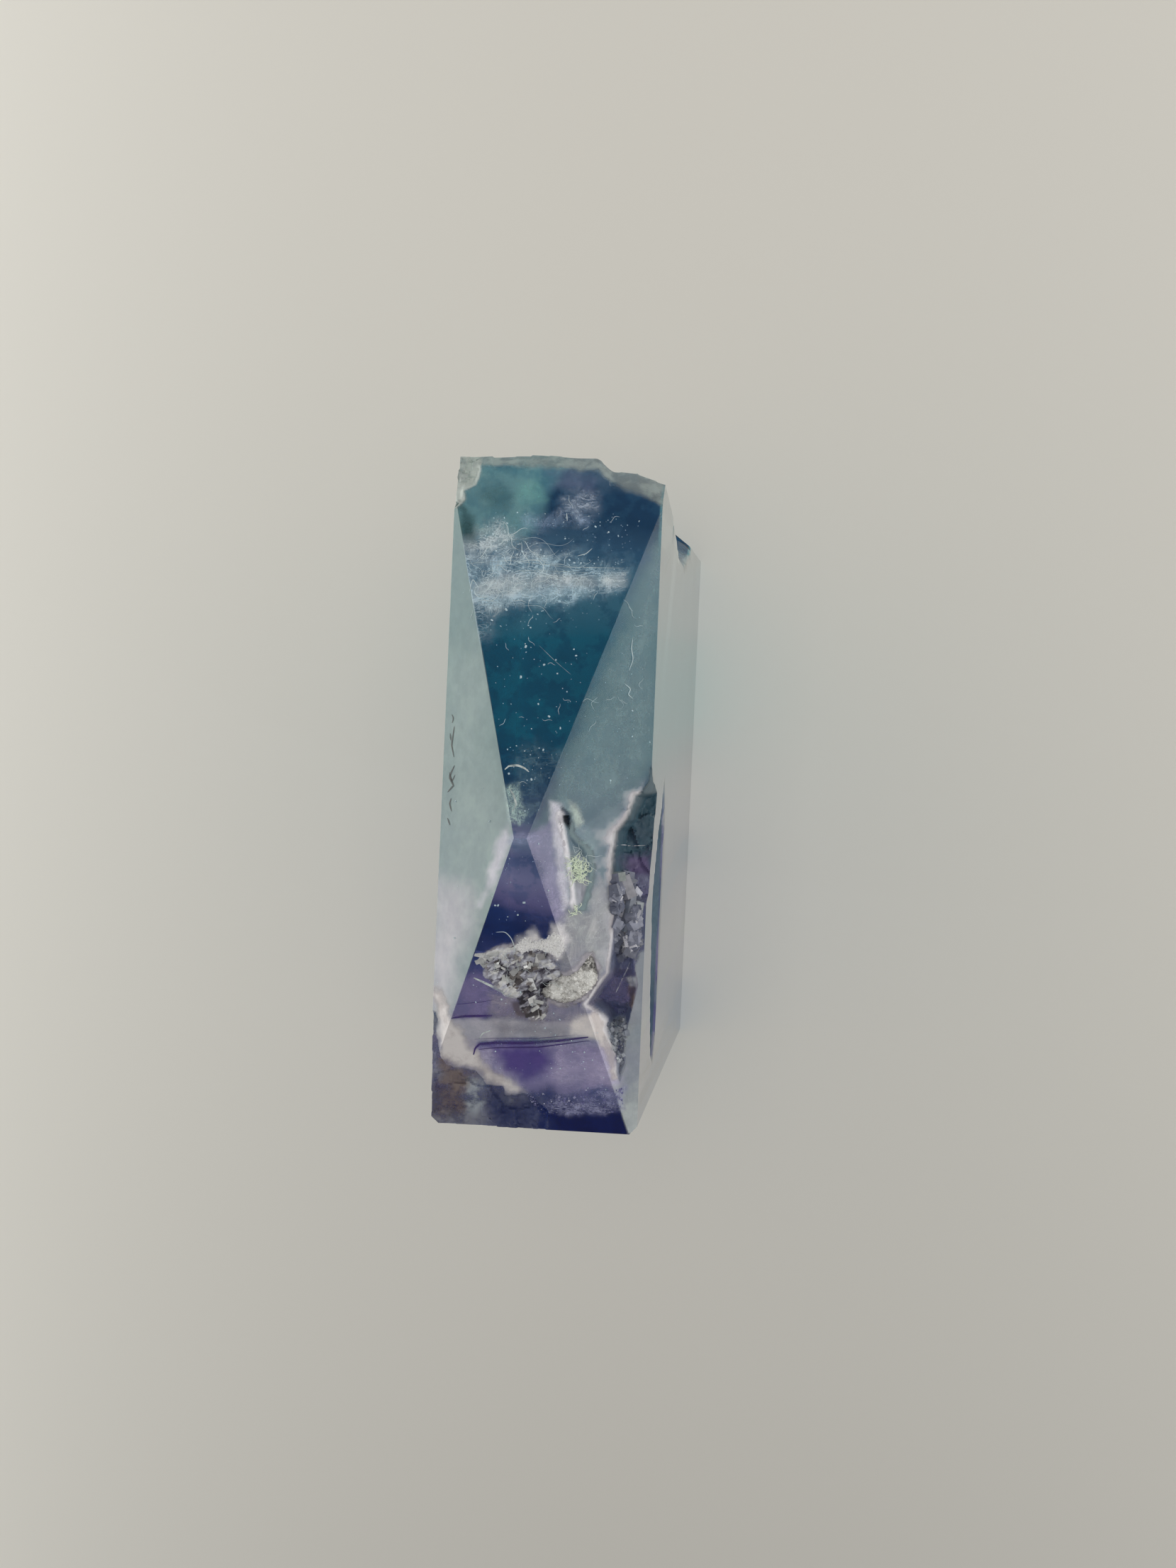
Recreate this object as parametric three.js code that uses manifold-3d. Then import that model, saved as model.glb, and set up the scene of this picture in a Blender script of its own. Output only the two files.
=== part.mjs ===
// Fluorite generator: a polished slab-shaped tower with a flat base and a low four-faced point.
// Natural hollows were left when it was cut: a cavity down one long shoulder, a druzy pit beside
// the point, a narrow slot, a broken front corner, a rough back wall and two hollows in one wall.
// Millimetres, +Z up. The origin is the centre of the bottom face; the long side runs along Y.
import * as THREE from 'three';
import { mergeVertices } from 'three/addons/utils/BufferGeometryUtils.js';
import Module from 'manifold-3d';

const wasm = await Module();
wasm.setup();

// ---- driving dimensions ----
const HALF_WIDTH = 8.9; // X, to each broad polished wall
const HALF_LENGTH = 29.1; // Y, to the front wall and the proudest point of the back wall
const HEIGHT = 86.9; // Z, base to the short level ridge at the very top
const CORNER_CHAMFER = 0.6; // the two front upright edges
const APEX_Y = -3.7; // the level ridge lies forward of the middle
const APEX_LEFT = -1.4; // X of its two ends
const APEX_RIGHT = -0.35;
const SEAT_GAP = 0.3; // air between a crust and the hollow that it lines
const CLEAR = 6; // how far a cutter runs past the surface it cuts
const MOUTH_MARGIN = 0.6; // and how far round its mouth

// The point's four faces: slope from level, heading of the downhill side, and the ridge end on it.
const POINT_FACES = [
  { slope: 52.5, heading: 180, ridgeX: APEX_LEFT },
  { slope: 50, heading: -2.4, ridgeX: APEX_RIGHT },
  { slope: 18.8, heading: 90, ridgeX: APEX_LEFT },
  { slope: 24.5, heading: -90, ridgeX: APEX_LEFT },
];

// Mouths of the hollows in the point, as seen from above (X, Y).
const SIDE_CAVITY = {
  mouth: [
    [9.6, 3.9], [8.8, 2.4], [8.7, 1.3], [8.2, 0.4], [7.5, 0.1], [6.9, -1.9], [6.1, -3.1], [5.9, -4.8],
    [5.9, -6.5], [6.5, -8.5], [6.2, -12.7], [6, -15], [5.4, -15.9], [4.9, -16.8], [4.4, -17.6],
    [5.5, -18.4], [6.1, -19.1], [6, -19.9], [6.5, -21.1], [7.1, -22.3], [7, -23.6], [7.4, -24.4],
    [7.8, -22.8], [7.6, -21.5], [7.8, -19.8], [8.1, -18.2], [8.5, -16.2], [8.2, -14.8], [8, -9.6],
    [9.6, -8.9],
  ],
  // height of its floor at the outer wall, from back to front
  floor: [
    [3.9, 75.8], [2.3, 67.8], [0, 66.9], [-2.7, 69.2], [-5.2, 70.8], [-7.7, 72.9], [-9.2, 73.4],
    [-15, 73.2], [-15.6, 74.4], [-18.2, 72.6], [-18.5, 71.6], [-19.9, 71.8], [-20.2, 73.4], [-24.4, 74.6],
  ],
  inwardRise: 0.55, // the floor climbs away from the outer wall
  wall: 0.7,
  relief: 0.9,
  cell: 1.9,
};
const DRUZY_PIT = {
  mouth: [
    [-3.9, -13.6], [-2.9, -13.1], [-1.4, -12.8], [-0.3, -12.5], [1.1, -12.7], [1.9, -14.4], [2.7, -15],
    [3.6, -14.7], [4.5, -13.3], [4.9, -13.1], [5.3, -14.2], [5.5, -15.7], [5, -16.5], [4.2, -17.2],
    [2.7, -17.8], [1.4, -17.4], [0.8, -18.9], [0.1, -19.1], [-1, -17.3], [-2.2, -16.9], [-3, -16],
    [-3.7, -15.4],
  ],
  depth: 2.6,
  wall: 0.9,
  relief: 1.5,
  cell: 1.3,
};
const SLOT = {
  mouth: [
    [2, -1.6], [2.7, -1.8], [2.8, -3.2], [4.2, -4.7], [4.6, -6.2], [4.5, -7.1], [4, -9.4], [3.4, -9.2],
    [3, -6.4], [2.6, -4.4],
  ],
  depth: 3.2,
  wall: 0.35,
  relief: 0.6,
  cell: 1.1,
};
const FRONT_CORNER = {
  mouth: [
    [-10, -19], [-8.5, -19.2], [-8.2, -20.1], [-8.4, -20.8], [-8, -22.2], [-7.9, -22.9], [-7.3, -23.6],
    [-6.7, -23.8], [-5, -24], [-4.5, -24.4], [-4, -25.2], [-2.5, -25.3], [-2.3, -26.1], [-0.5, -25.8],
    [1.5, -27.4], [1, -30.5], [-10, -30.5],
  ],
  floorAtFront: 75.1, // a nearly level broken floor
  floorRise: 0.15, // per millimetre towards the back
  wall: 0.35,
  relief: 0.45,
  cell: 1.5,
};
const BACK_CHIP = {
  mouth: [[-10, 23.6], [-8.6, 23.9], [-8, 24.6], [-8.2, 25.4], [-7.2, 25.9], [-6.8, 27.3], [-7.4, 30.5], [-10, 30.5]],
  depth: 0.9,
  wall: 0.4,
  relief: 0.8,
  cell: 1,
};

// Hollows in the right wall, as seen from the side (Y, Z).
const SCOOP = {
  mouth: [
    [1.6, 56.5], [-1.3, 58.3], [-3.4, 62], [-5.5, 63.8], [-8.5, 66.4], [-11.3, 66.2], [-18, 63.8],
    [-24.3, 59.6], [-25.5, 56.5], [-23.1, 53.2], [-12.2, 52.8], [-4.8, 52.9], [-1.5, 53.8],
  ],
  depth: 1.5,
  wall: 2.4,
};
const EDGE_HOLLOW = {
  mouth: [[22.8, 48], [23.8, 53], [24.8, 60], [32, 61], [32, 20], [28.4, 22.2], [26.9, 24], [24.5, 28.4], [22.7, 38]],
  depth: 2.3,
  wall: 1.6,
};

// The back wall is broken stone, set further forward on the right.
const BACK_STEP = { x: 3.7, halfWidth: 0.9, depth: 1.05 };
const BACK_CORNER = {
  x: 6.4, // right of this the corner is cut back
  slope: [[0, 0.5], [60, 0.95], [75, 0.3]], // by how much per millimetre of X, from the base upwards
};
const BACK_SWELL = { x: -2.6, halfWidth: 3.2, height: 0.28 }; // stands proudest here
const BACK_SKIN = { depth: 0.21, rise: 7.3, run: 3.1, footZ: 20 }; // slow swings of the broken surface
const BACK_RIM = { footZ: 74.9, lean: 0.8, relief: 0.4, cell: 1.7, seed: 41 }; // leans in above its foot

// The two crusts, as seen from above.
const SUGAR_CRUST = {
  outline: [
    [4.7, -13.5], [5, -14.3], [5.2, -15.6], [4.8, -16.2], [4, -16.8], [2.8, -17.4], [1.7, -17.1],
    [1.2, -16.6], [1.8, -15.9], [2.7, -15.3], [3.6, -15], [4.3, -13.9],
  ],
  below: 0.45, // mean depth of its top under the point's faces
  crystal: 0.58,
  spacing: 0.6,
};
const BLOCK_CRUST = {
  outline: [[6.35, -8.2], [7, -7], [7.4, -8.2], [7.9, -10], [7.8, -14.6], [6.7, -14.9], [6.5, -12.6], [6.7, -9.3]],
  below: 1.1,
  crystal: 1,
  spacing: 0.95,
};

const COLOURS = {
  fluorite: { color: 0x3d6f86, roughness: 0.08, metalness: 0 },
  sugarDruse: { color: 0xc9c4bb, roughness: 0.45, metalness: 0 },
  blockDruse: { color: 0x8f90ab, roughness: 0.35, metalness: 0 },
};

// ---- small helpers ----
const degrees = THREE.MathUtils.degToRad;

function pseudoRandom(i, j, seed) {
  const value = Math.sin(i * 127.1 + j * 311.7 + seed * 74.7) * 43758.5453;
  return value - Math.floor(value);
}

function profile(points, at) {
  // straight lines between points whose first number falls or rises steadily
  const sorted = [...points].sort((a, b) => a[0] - b[0]);
  if (at <= sorted[0][0]) return sorted[0][1];
  for (let k = 1; k < sorted.length; k += 1) {
    const [x0, y0] = sorted[k - 1];
    const [x1, y1] = sorted[k];
    if (at <= x1) return y0 + (y1 - y0) * ((at - x0) / (x1 - x0));
  }
  return sorted[sorted.length - 1][1];
}

function insideDistance(outline, x, y) {
  // distance to the outline, positive inside it
  let nearest = Infinity;
  let inside = false;
  outline.forEach(([x0, y0], k) => {
    const [x1, y1] = outline[(k + 1) % outline.length];
    const dx = x1 - x0;
    const dy = y1 - y0;
    const along = THREE.MathUtils.clamp(((x - x0) * dx + (y - y0) * dy) / (dx * dx + dy * dy), 0, 1);
    nearest = Math.min(nearest, Math.hypot(x - x0 - along * dx, y - y0 - along * dy));
    if ((y0 > y) !== (y1 > y) && x < x0 + (dx * (y - y0)) / dy) inside = !inside;
  });
  return inside ? nearest : -nearest;
}

function plates(x, y, cell, seed) {
  // broken stone: each point takes the height of the tilted plate whose centre lies nearest
  let nearest = Infinity;
  let height = 0;
  const column = Math.floor(x / cell);
  const row = Math.floor(y / cell);
  for (let i = column - 1; i <= column + 1; i += 1) {
    for (let j = row - 1; j <= row + 1; j += 1) {
      const dx = x - (i + pseudoRandom(i, j, seed)) * cell;
      const dy = y - (j + pseudoRandom(i, j, seed + 1)) * cell;
      const distance = Math.hypot(dx, dy);
      if (distance < nearest) {
        nearest = distance;
        const tilt = (dx * (pseudoRandom(i, j, seed + 3) - 0.5) + dy * (pseudoRandom(i, j, seed + 4) - 0.5)) / cell;
        height = pseudoRandom(i, j, seed + 2) - 0.5 + tilt;
      }
    }
  }
  return height;
}

function toSolid(geometry) {
  const bare = geometry.clone();
  bare.deleteAttribute('normal');
  bare.deleteAttribute('uv');
  const merged = mergeVertices(bare, 1e-4);
  return new wasm.Manifold(new wasm.Mesh({
    numProp: 3,
    vertProperties: new Float32Array(merged.attributes.position.array),
    triVerts: new Uint32Array(merged.index.array),
  }));
}

function largestBody(solid) {
  // drops specks and sealed pockets that the cuts leave behind
  return solid.decompose().reduce((best, body) => (body.volume() > best.volume() ? body : best));
}

function toMesh(name, solid, look) {
  const { vertProperties, triVerts } = solid.getMesh();
  const geometry = new THREE.BufferGeometry();
  geometry.setAttribute('position', new THREE.BufferAttribute(new Float32Array(vertProperties), 3));
  geometry.setIndex(new THREE.BufferAttribute(new Uint32Array(triVerts), 1));
  geometry.computeVertexNormals();
  const mesh = new THREE.Mesh(geometry, new THREE.MeshStandardMaterial({ ...look, flatShading: true }));
  mesh.name = name;
  return mesh;
}

function shapedBlock(low, high, segments, shape) {
  // a segmented box whose every vertex is moved by shape(point, isLow), isLow telling which of the
  // box's lowest faces the vertex is on
  const size = new THREE.Vector3().subVectors(high, low);
  const box = new THREE.BoxGeometry(size.x, size.y, size.z, ...segments);
  box.translate(low.x + size.x / 2, low.y + size.y / 2, low.z + size.z / 2);
  const position = box.attributes.position;
  const point = new THREE.Vector3();
  const near = (a, b) => Math.abs(a - b) < 1e-3;
  for (let k = 0; k < position.count; k += 1) {
    point.fromBufferAttribute(position, k);
    shape(point, { x: near(point.x, low.x), y: near(point.y, low.y), z: near(point.z, low.z) });
    position.setXYZ(k, point.x, point.y, point.z);
  }
  return toSolid(box);
}

function extent(outline) {
  const box = new THREE.Box2().setFromPoints(outline.map(([x, y]) => new THREE.Vector2(x, y)));
  return box.expandByScalar(MOUTH_MARGIN);
}

// ---- the polished form ----
function pointHeight(x, y) {
  // height of the four-faced point over (x, y)
  return Math.min(...POINT_FACES.map(({ slope, heading, ridgeX }) => {
    const downhill = (x - ridgeX) * Math.cos(degrees(heading)) + (y - APEX_Y) * Math.sin(degrees(heading));
    return HEIGHT - Math.tan(degrees(slope)) * downhill;
  }));
}

function slab() {
  // the upright prism, its two front upright edges chamfered
  const section = new THREE.Shape();
  section.moveTo(-HALF_WIDTH, HALF_LENGTH);
  section.lineTo(-HALF_WIDTH, -HALF_LENGTH + CORNER_CHAMFER);
  section.lineTo(-HALF_WIDTH + CORNER_CHAMFER, -HALF_LENGTH);
  section.lineTo(HALF_WIDTH - CORNER_CHAMFER, -HALF_LENGTH);
  section.lineTo(HALF_WIDTH, -HALF_LENGTH + CORNER_CHAMFER);
  section.lineTo(HALF_WIDTH, HALF_LENGTH);
  section.closePath();
  return toSolid(new THREE.ExtrudeGeometry(section, { depth: HEIGHT + CLEAR, bevelEnabled: false }));
}

function pointFaceCutter({ slope, heading, ridgeX }) {
  // a large block whose underside lies in one face of the point
  const reach = 4 * HALF_LENGTH;
  const block = new THREE.BoxGeometry(reach, reach, HALF_LENGTH);
  block.translate(0, 0, HALF_LENGTH / 2);
  block.rotateY(degrees(slope));
  block.rotateZ(degrees(heading));
  block.translate(ridgeX, APEX_Y, HEIGHT);
  return toSolid(block);
}

// ---- the hollows ----
function hollowDepth(hollow, x, y, seed) {
  // depth under the point's faces; less than nothing outside the mouth
  const inside = insideDistance(hollow.mouth, x, y);
  if (inside <= 0) return 2 * inside;
  const wall = THREE.MathUtils.smoothstep(inside, 0, hollow.wall);
  return wall * (hollow.floorDepth(x, y) + hollow.relief * plates(x, y, hollow.cell, seed));
}

function topHollowCutter({ hollow, step, seed }, lift = 0) {
  // the air of a hollow: everything above its floor, or above that floor lifted
  const { min, max } = extent(hollow.mouth);
  const low = new THREE.Vector3(Math.max(min.x, -HALF_WIDTH - 1), Math.max(min.y, -HALF_LENGTH - 1), 60);
  const high = new THREE.Vector3(Math.min(max.x, HALF_WIDTH + 1), Math.min(max.y, HALF_LENGTH + 1), HEIGHT + CLEAR);
  const segments = [Math.round((high.x - low.x) / step), Math.round((high.y - low.y) / step), 1];
  return shapedBlock(low, high, segments, (point, isLow) => {
    if (isLow.z) point.z = pointHeight(point.x, point.y) - hollowDepth(hollow, point.x, point.y, seed) + lift;
  });
}

function sideHollowCutter(hollow, step) {
  const { min, max } = extent(hollow.mouth);
  const low = new THREE.Vector3(0, min.x, min.y);
  const high = new THREE.Vector3(HALF_WIDTH + CLEAR, max.x, max.y);
  const segments = [1, Math.round((high.y - low.y) / step), Math.round((high.z - low.z) / step)];
  return shapedBlock(low, high, segments, (point, isLow) => {
    if (!isLow.x) return;
    const inside = insideDistance(hollow.mouth, point.y, point.z);
    const wall = THREE.MathUtils.smoothstep(inside, 0, hollow.wall);
    point.x = inside > 0 ? HALF_WIDTH - hollow.depth * wall : HALF_WIDTH - 0.5 * inside;
  });
}

SIDE_CAVITY.floorDepth = (x, y) => {
  const floor = profile(SIDE_CAVITY.floor, y) + SIDE_CAVITY.inwardRise * Math.max(0, HALF_WIDTH - x);
  return pointHeight(x, y) - floor;
};
FRONT_CORNER.floorDepth = (x, y) => {
  const floor = FRONT_CORNER.floorAtFront + FRONT_CORNER.floorRise * (y + HALF_LENGTH);
  return Math.max(0.1, pointHeight(x, y) - floor);
};
[DRUZY_PIT, SLOT, BACK_CHIP].forEach((hollow) => {
  hollow.floorDepth = () => hollow.depth;
});

function backWall(x, z) {
  // Y of the broken back wall: a step, a cut-back right corner, a swell, and a rim that leans in
  const { smoothstep } = THREE.MathUtils;
  const step = BACK_STEP.depth * smoothstep(x, BACK_STEP.x - BACK_STEP.halfWidth, BACK_STEP.x + BACK_STEP.halfWidth);
  const corner = profile(BACK_CORNER.slope, z) * Math.max(0, x - BACK_CORNER.x);
  const swell = BACK_SWELL.height * (1 - Math.exp(-(((x - BACK_SWELL.x) / BACK_SWELL.halfWidth) ** 2)));
  const swing = 0.5 + 0.5 * Math.sin(z / BACK_SKIN.rise + x / BACK_SKIN.run);
  const skin = BACK_SKIN.depth * swing * smoothstep(z, 0, BACK_SKIN.footZ);
  const rough = 1 + BACK_RIM.relief * plates(x, z, BACK_RIM.cell, BACK_RIM.seed);
  const rim = BACK_RIM.lean * Math.max(0, z - BACK_RIM.footZ) * rough;
  return HALF_LENGTH - step - corner - swell - skin - rim;
}

function backWallCutter() {
  const low = new THREE.Vector3(-HALF_WIDTH - 1, HALF_LENGTH - 1, -1);
  const high = new THREE.Vector3(HALF_WIDTH + 1, HALF_LENGTH + CLEAR, HEIGHT);
  const heights = [low.z, 12, 25, 38, 50, 60, 68, 72.5, 74.4, 74.9, 75.4, 75.9, 76.5, 77.4, high.z];
  const levels = heights.length - 1;
  return shapedBlock(low, high, [20, 1, levels], (point, isLow) => {
    const level = Math.round(((point.z - low.z) / (high.z - low.z)) * levels);
    point.z = heights[level];
    if (isLow.y) point.y = backWall(point.x, point.z);
  });
}

// ---- the crusts that line two of the hollows ----
function crustSlab(crust) {
  // a column of the crust's outline whose top follows the point's faces at a small depth
  const shape = new THREE.Shape(crust.outline.map(([x, y]) => new THREE.Vector2(x, y)));
  const column = new THREE.ExtrudeGeometry(shape, { depth: HEIGHT, bevelEnabled: false });
  const position = column.attributes.position;
  for (let k = 0; k < position.count; k += 1) {
    const isTop = position.getZ(k) > HEIGHT / 2;
    const top = pointHeight(position.getX(k), position.getY(k)) - crust.below;
    position.setZ(k, isTop ? top : top - CLEAR);
  }
  return toSolid(column);
}

function crustCrystals(crust, seed) {
  // small cubes, each turned its own way, set in rows over the crust's top
  const { min, max } = extent(crust.outline);
  const cubes = [];
  for (let i = 0; min.x + i * crust.spacing < max.x; i += 1) {
    for (let j = 0; min.y + j * crust.spacing < max.y; j += 1) {
      const x = min.x + (i + 0.6 * pseudoRandom(i, j, seed)) * crust.spacing;
      const y = min.y + (j + 0.6 * pseudoRandom(i, j, seed + 1)) * crust.spacing;
      const edge = crust.crystal * (0.7 + 0.6 * pseudoRandom(i, j, seed + 2));
      if (insideDistance(crust.outline, x, y) < 0.2 * edge) continue;
      const cube = new THREE.BoxGeometry(edge, edge, edge);
      cube.rotateX(1.5 * pseudoRandom(i, j, seed + 3));
      cube.rotateY(1.5 * pseudoRandom(i, j, seed + 4));
      cube.rotateZ(3 * pseudoRandom(i, j, seed + 5));
      cube.translate(x, y, pointHeight(x, y) - crust.below - 0.25 * edge);
      cubes.push(toSolid(cube));
    }
  }
  return cubes;
}

function crustSolid(crust, cut, seed) {
  // slab and crystals in one, kept to the hollow's air and clear of its floor by the gap
  const whole = crustCrystals(crust, seed).reduce((solid, cube) => solid.add(cube), crustSlab(crust));
  return largestBody(whole.intersect(topHollowCutter(cut, SEAT_GAP)));
}

// ---- assembly ----
const CUTS = {
  sideCavity: { hollow: SIDE_CAVITY, step: 0.62, seed: 3 },
  druzyPit: { hollow: DRUZY_PIT, step: 0.5, seed: 11 },
  slot: { hollow: SLOT, step: 0.42, seed: 17 },
  frontCorner: { hollow: FRONT_CORNER, step: 0.62, seed: 23 },
  backChip: { hollow: BACK_CHIP, step: 0.6, seed: 29 },
};

function towerSolid() {
  let tower = slab();
  POINT_FACES.forEach((face) => {
    tower = tower.subtract(pointFaceCutter(face));
  });
  tower = tower.subtract(backWallCutter());
  Object.values(CUTS).forEach((cut) => {
    tower = tower.subtract(topHollowCutter(cut));
  });
  tower = tower.subtract(sideHollowCutter(SCOOP, 1.3));
  tower = tower.subtract(sideHollowCutter(EDGE_HOLLOW, 1.3));
  return largestBody(tower);
}

const generator = new THREE.Group();
generator.add(
  toMesh('fluorite_generator', towerSolid(), COLOURS.fluorite),
  toMesh('druzy_crust', crustSolid(SUGAR_CRUST, CUTS.druzyPit, 51), COLOURS.sugarDruse),
  toMesh('cavity_crust', crustSolid(BLOCK_CRUST, CUTS.sideCavity, 61), COLOURS.blockDruse),
);

export default generator;
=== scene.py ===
"""Fluorite generator: a polished, slab-shaped tower of banded fluorite with natural hollows.

Shapes are worked out in millimetres as whole numpy arrays and stored in metres. The frame is the
part's own: the base on z = 0, the long side along Y, the purple end at -Y, the green end at +Y.
A shape is its points, its faces and its points' own numbers by attribute name.
"""

import bmesh
import bpy
import numpy as np
from mathutils import Matrix


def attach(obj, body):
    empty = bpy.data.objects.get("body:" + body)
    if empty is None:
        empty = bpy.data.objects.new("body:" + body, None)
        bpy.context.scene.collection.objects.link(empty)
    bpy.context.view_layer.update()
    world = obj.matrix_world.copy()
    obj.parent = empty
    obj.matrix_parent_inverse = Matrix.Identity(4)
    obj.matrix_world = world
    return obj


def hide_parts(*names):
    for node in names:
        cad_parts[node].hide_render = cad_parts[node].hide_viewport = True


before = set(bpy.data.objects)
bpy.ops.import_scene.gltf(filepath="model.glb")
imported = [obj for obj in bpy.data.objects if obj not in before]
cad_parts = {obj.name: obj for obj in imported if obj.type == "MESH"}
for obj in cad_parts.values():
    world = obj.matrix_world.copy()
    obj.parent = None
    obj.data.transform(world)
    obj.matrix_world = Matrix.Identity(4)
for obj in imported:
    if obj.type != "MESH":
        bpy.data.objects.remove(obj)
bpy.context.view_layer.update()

MM = 0.001

# ---- the tower's own sizes, in millimetres ----
HALF_WIDTH = 8.9
HALF_LENGTH = 29.1
HEIGHT = 86.9
CORNER_CHAMFER = 0.6
APEX_Y = -3.7
APEX_LEFT = -1.4
APEX_RIGHT = -0.35

# The point's four faces: slope from level, heading of the downhill side, the ridge end on it.
POINT_FACES = {
    "left": (52.5, 180, APEX_LEFT),
    "right": (50, -2.4, APEX_RIGHT),
    "back": (18.8, 90, APEX_LEFT),
    "front": (24.5, -90, APEX_LEFT),
}

# Mouths of the hollows in the point, as seen from above (X, Y).
SIDE_CAVITY = {
    "mouth": [(9.6, 3.9), (8.8, 2.4), (8.7, 1.3), (8.2, 0.4), (7.5, 0.1), (6.9, -1.9), (6.1, -3.1),
        (5.9, -4.8), (5.9, -6.5), (6.5, -8.5), (6.2, -12.7), (6, -15), (5.4, -15.9), (4.9, -16.8),
        (4.4, -17.6), (5.5, -18.4), (6.1, -19.1), (6, -19.9), (6.5, -21.1), (7.1, -22.3), (7, -23.6),
        (7.4, -24.4), (7.8, -22.8), (7.6, -21.5), (7.8, -19.8), (8.1, -18.2), (8.5, -16.2), (8.2, -14.8),
        (8, -9.6), (9.6, -8.9)],
    "floor": [(3.9, 75.8), (2.3, 67.8), (0, 66.9), (-2.7, 69.2), (-5.2, 70.8), (-7.7, 72.9), (-9.2, 73.4),
        (-15, 73.2), (-15.6, 74.4), (-18.2, 72.6), (-18.5, 71.6), (-19.9, 71.8), (-20.2, 73.4),
        (-24.4, 74.6)],
    "inward_rise": 0.55, "wall": 0.7, "relief": 0.9, "cell": 1.9, "seed": 3,
}
DRUZY_PIT = {
    "mouth": [(-3.9, -13.6), (-2.9, -13.1), (-1.4, -12.8), (-0.3, -12.5), (1.1, -12.7), (1.9, -14.4),
        (2.7, -15), (3.6, -14.7), (4.5, -13.3), (4.9, -13.1), (5.3, -14.2), (5.5, -15.7), (5, -16.5),
        (4.2, -17.2), (2.7, -17.8), (1.4, -17.4), (0.8, -18.9), (0.1, -19.1), (-1, -17.3), (-2.2, -16.9),
        (-3, -16), (-3.7, -15.4)],
    "depth": 2.6, "wall": 0.9, "relief": 1.5, "cell": 1.3, "seed": 11,
}
SLOT = {
    "mouth": [(2, -1.6), (2.7, -1.8), (2.8, -3.2), (4.2, -4.7), (4.6, -6.2), (4.5, -7.1), (4, -9.4),
        (3.4, -9.2), (3, -6.4), (2.6, -4.4)],
    "depth": 3.2, "wall": 0.35, "relief": 0.6, "cell": 1.1, "seed": 17,
}
FRONT_CORNER = {
    "mouth": [(-10, -19), (-8.5, -19.2), (-8.2, -20.1), (-8.4, -20.8), (-8, -22.2), (-7.9, -22.9),
        (-7.3, -23.6), (-6.7, -23.8), (-5, -24), (-4.5, -24.4), (-4, -25.2), (-2.5, -25.3), (-2.3, -26.1),
        (-0.5, -25.8), (1.5, -27.4), (1, -30.5), (-10, -30.5)],
    "floor_at_front": 75.1, "floor_rise": 0.15, "wall": 0.35, "relief": 0.45, "cell": 1.5, "seed": 23,
}
BACK_CHIP = {
    "mouth": [(-10, 23.6), (-8.6, 23.9), (-8, 24.6), (-8.2, 25.4), (-7.2, 25.9), (-6.8, 27.3), (-7.4, 30.5),
        (-10, 30.5)],
    "depth": 0.9, "wall": 0.4, "relief": 0.8, "cell": 1, "seed": 29,
}
TOP_HOLLOWS = (SIDE_CAVITY, DRUZY_PIT, SLOT, FRONT_CORNER, BACK_CHIP)

# Hollows in the right wall, as seen from the side (Y, Z).
SCOOP = {
    "mouth": [(1.6, 56.5), (-1.3, 58.3), (-3.4, 62), (-5.5, 63.8), (-8.5, 66.4), (-11.3, 66.2), (-18, 63.8),
        (-24.3, 59.6), (-25.5, 56.5), (-23.1, 53.2), (-12.2, 52.8), (-4.8, 52.9), (-1.5, 53.8)],
    "depth": 1.5, "wall": 2.4,
}
EDGE_HOLLOW = {
    "mouth": [(22.8, 48), (23.8, 53), (24.8, 60), (32, 61), (32, 20), (28.4, 22.2), (26.9, 24),
        (24.5, 28.4), (22.7, 38)],
    "depth": 2.3, "wall": 1.6,
}

# The broken back wall, set further forward on the right, with a rough rim that leans in.
BACK_STEP = {"x": 3.7, "half_width": 0.9, "depth": 1.05}
BACK_CORNER = {"x": 6.4, "slope": [(0, 0.5), (60, 0.95), (75, 0.3)]}
BACK_SWELL = {"x": -2.6, "half_width": 3.2, "height": 0.28}
BACK_SKIN = {"depth": 0.21, "rise": 7.3, "run": 3.1, "foot_z": 20}
BACK_RIM = {"foot_z": 74.9, "lean": 0.8, "relief": 0.4, "cell": 1.7, "seed": 41}


# ---- arithmetic on whole arrays ----
def scatter(i, j, seed):
    """A repeatable number from 0 to 1 for each cell (i, j): what follows the point in a large sine."""
    value = np.sin(i * 127.1 + j * 311.7 + seed * 74.7) * 43758.5453
    return value - np.floor(value)


def smoothstep(value, low, high):
    """0 below low, 1 above high, an S-shaped climb between."""
    t = np.clip((value - low) / (high - low), 0, 1)
    return t * t * (3 - 2 * t)


def profile(points, at):
    """Straight lines between (place, value) points, level beyond the last ones."""
    places, values = zip(*sorted(points))
    return np.interp(at, places, values)


def swells(x, y, cell, seed):
    """Soft noise from -1 to 1: a random height at each cell corner, blended by S-curves between."""
    u, v = x / cell, y / cell
    i, j = np.floor(u), np.floor(v)
    a, b = smoothstep(u - i, 0, 1), smoothstep(v - j, 0, 1)
    low = scatter(i, j, seed) * (1 - a) + scatter(i + 1, j, seed) * a
    high = scatter(i, j + 1, seed) * (1 - a) + scatter(i + 1, j + 1, seed) * a
    return 2 * (low * (1 - b) + high * b) - 1


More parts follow.
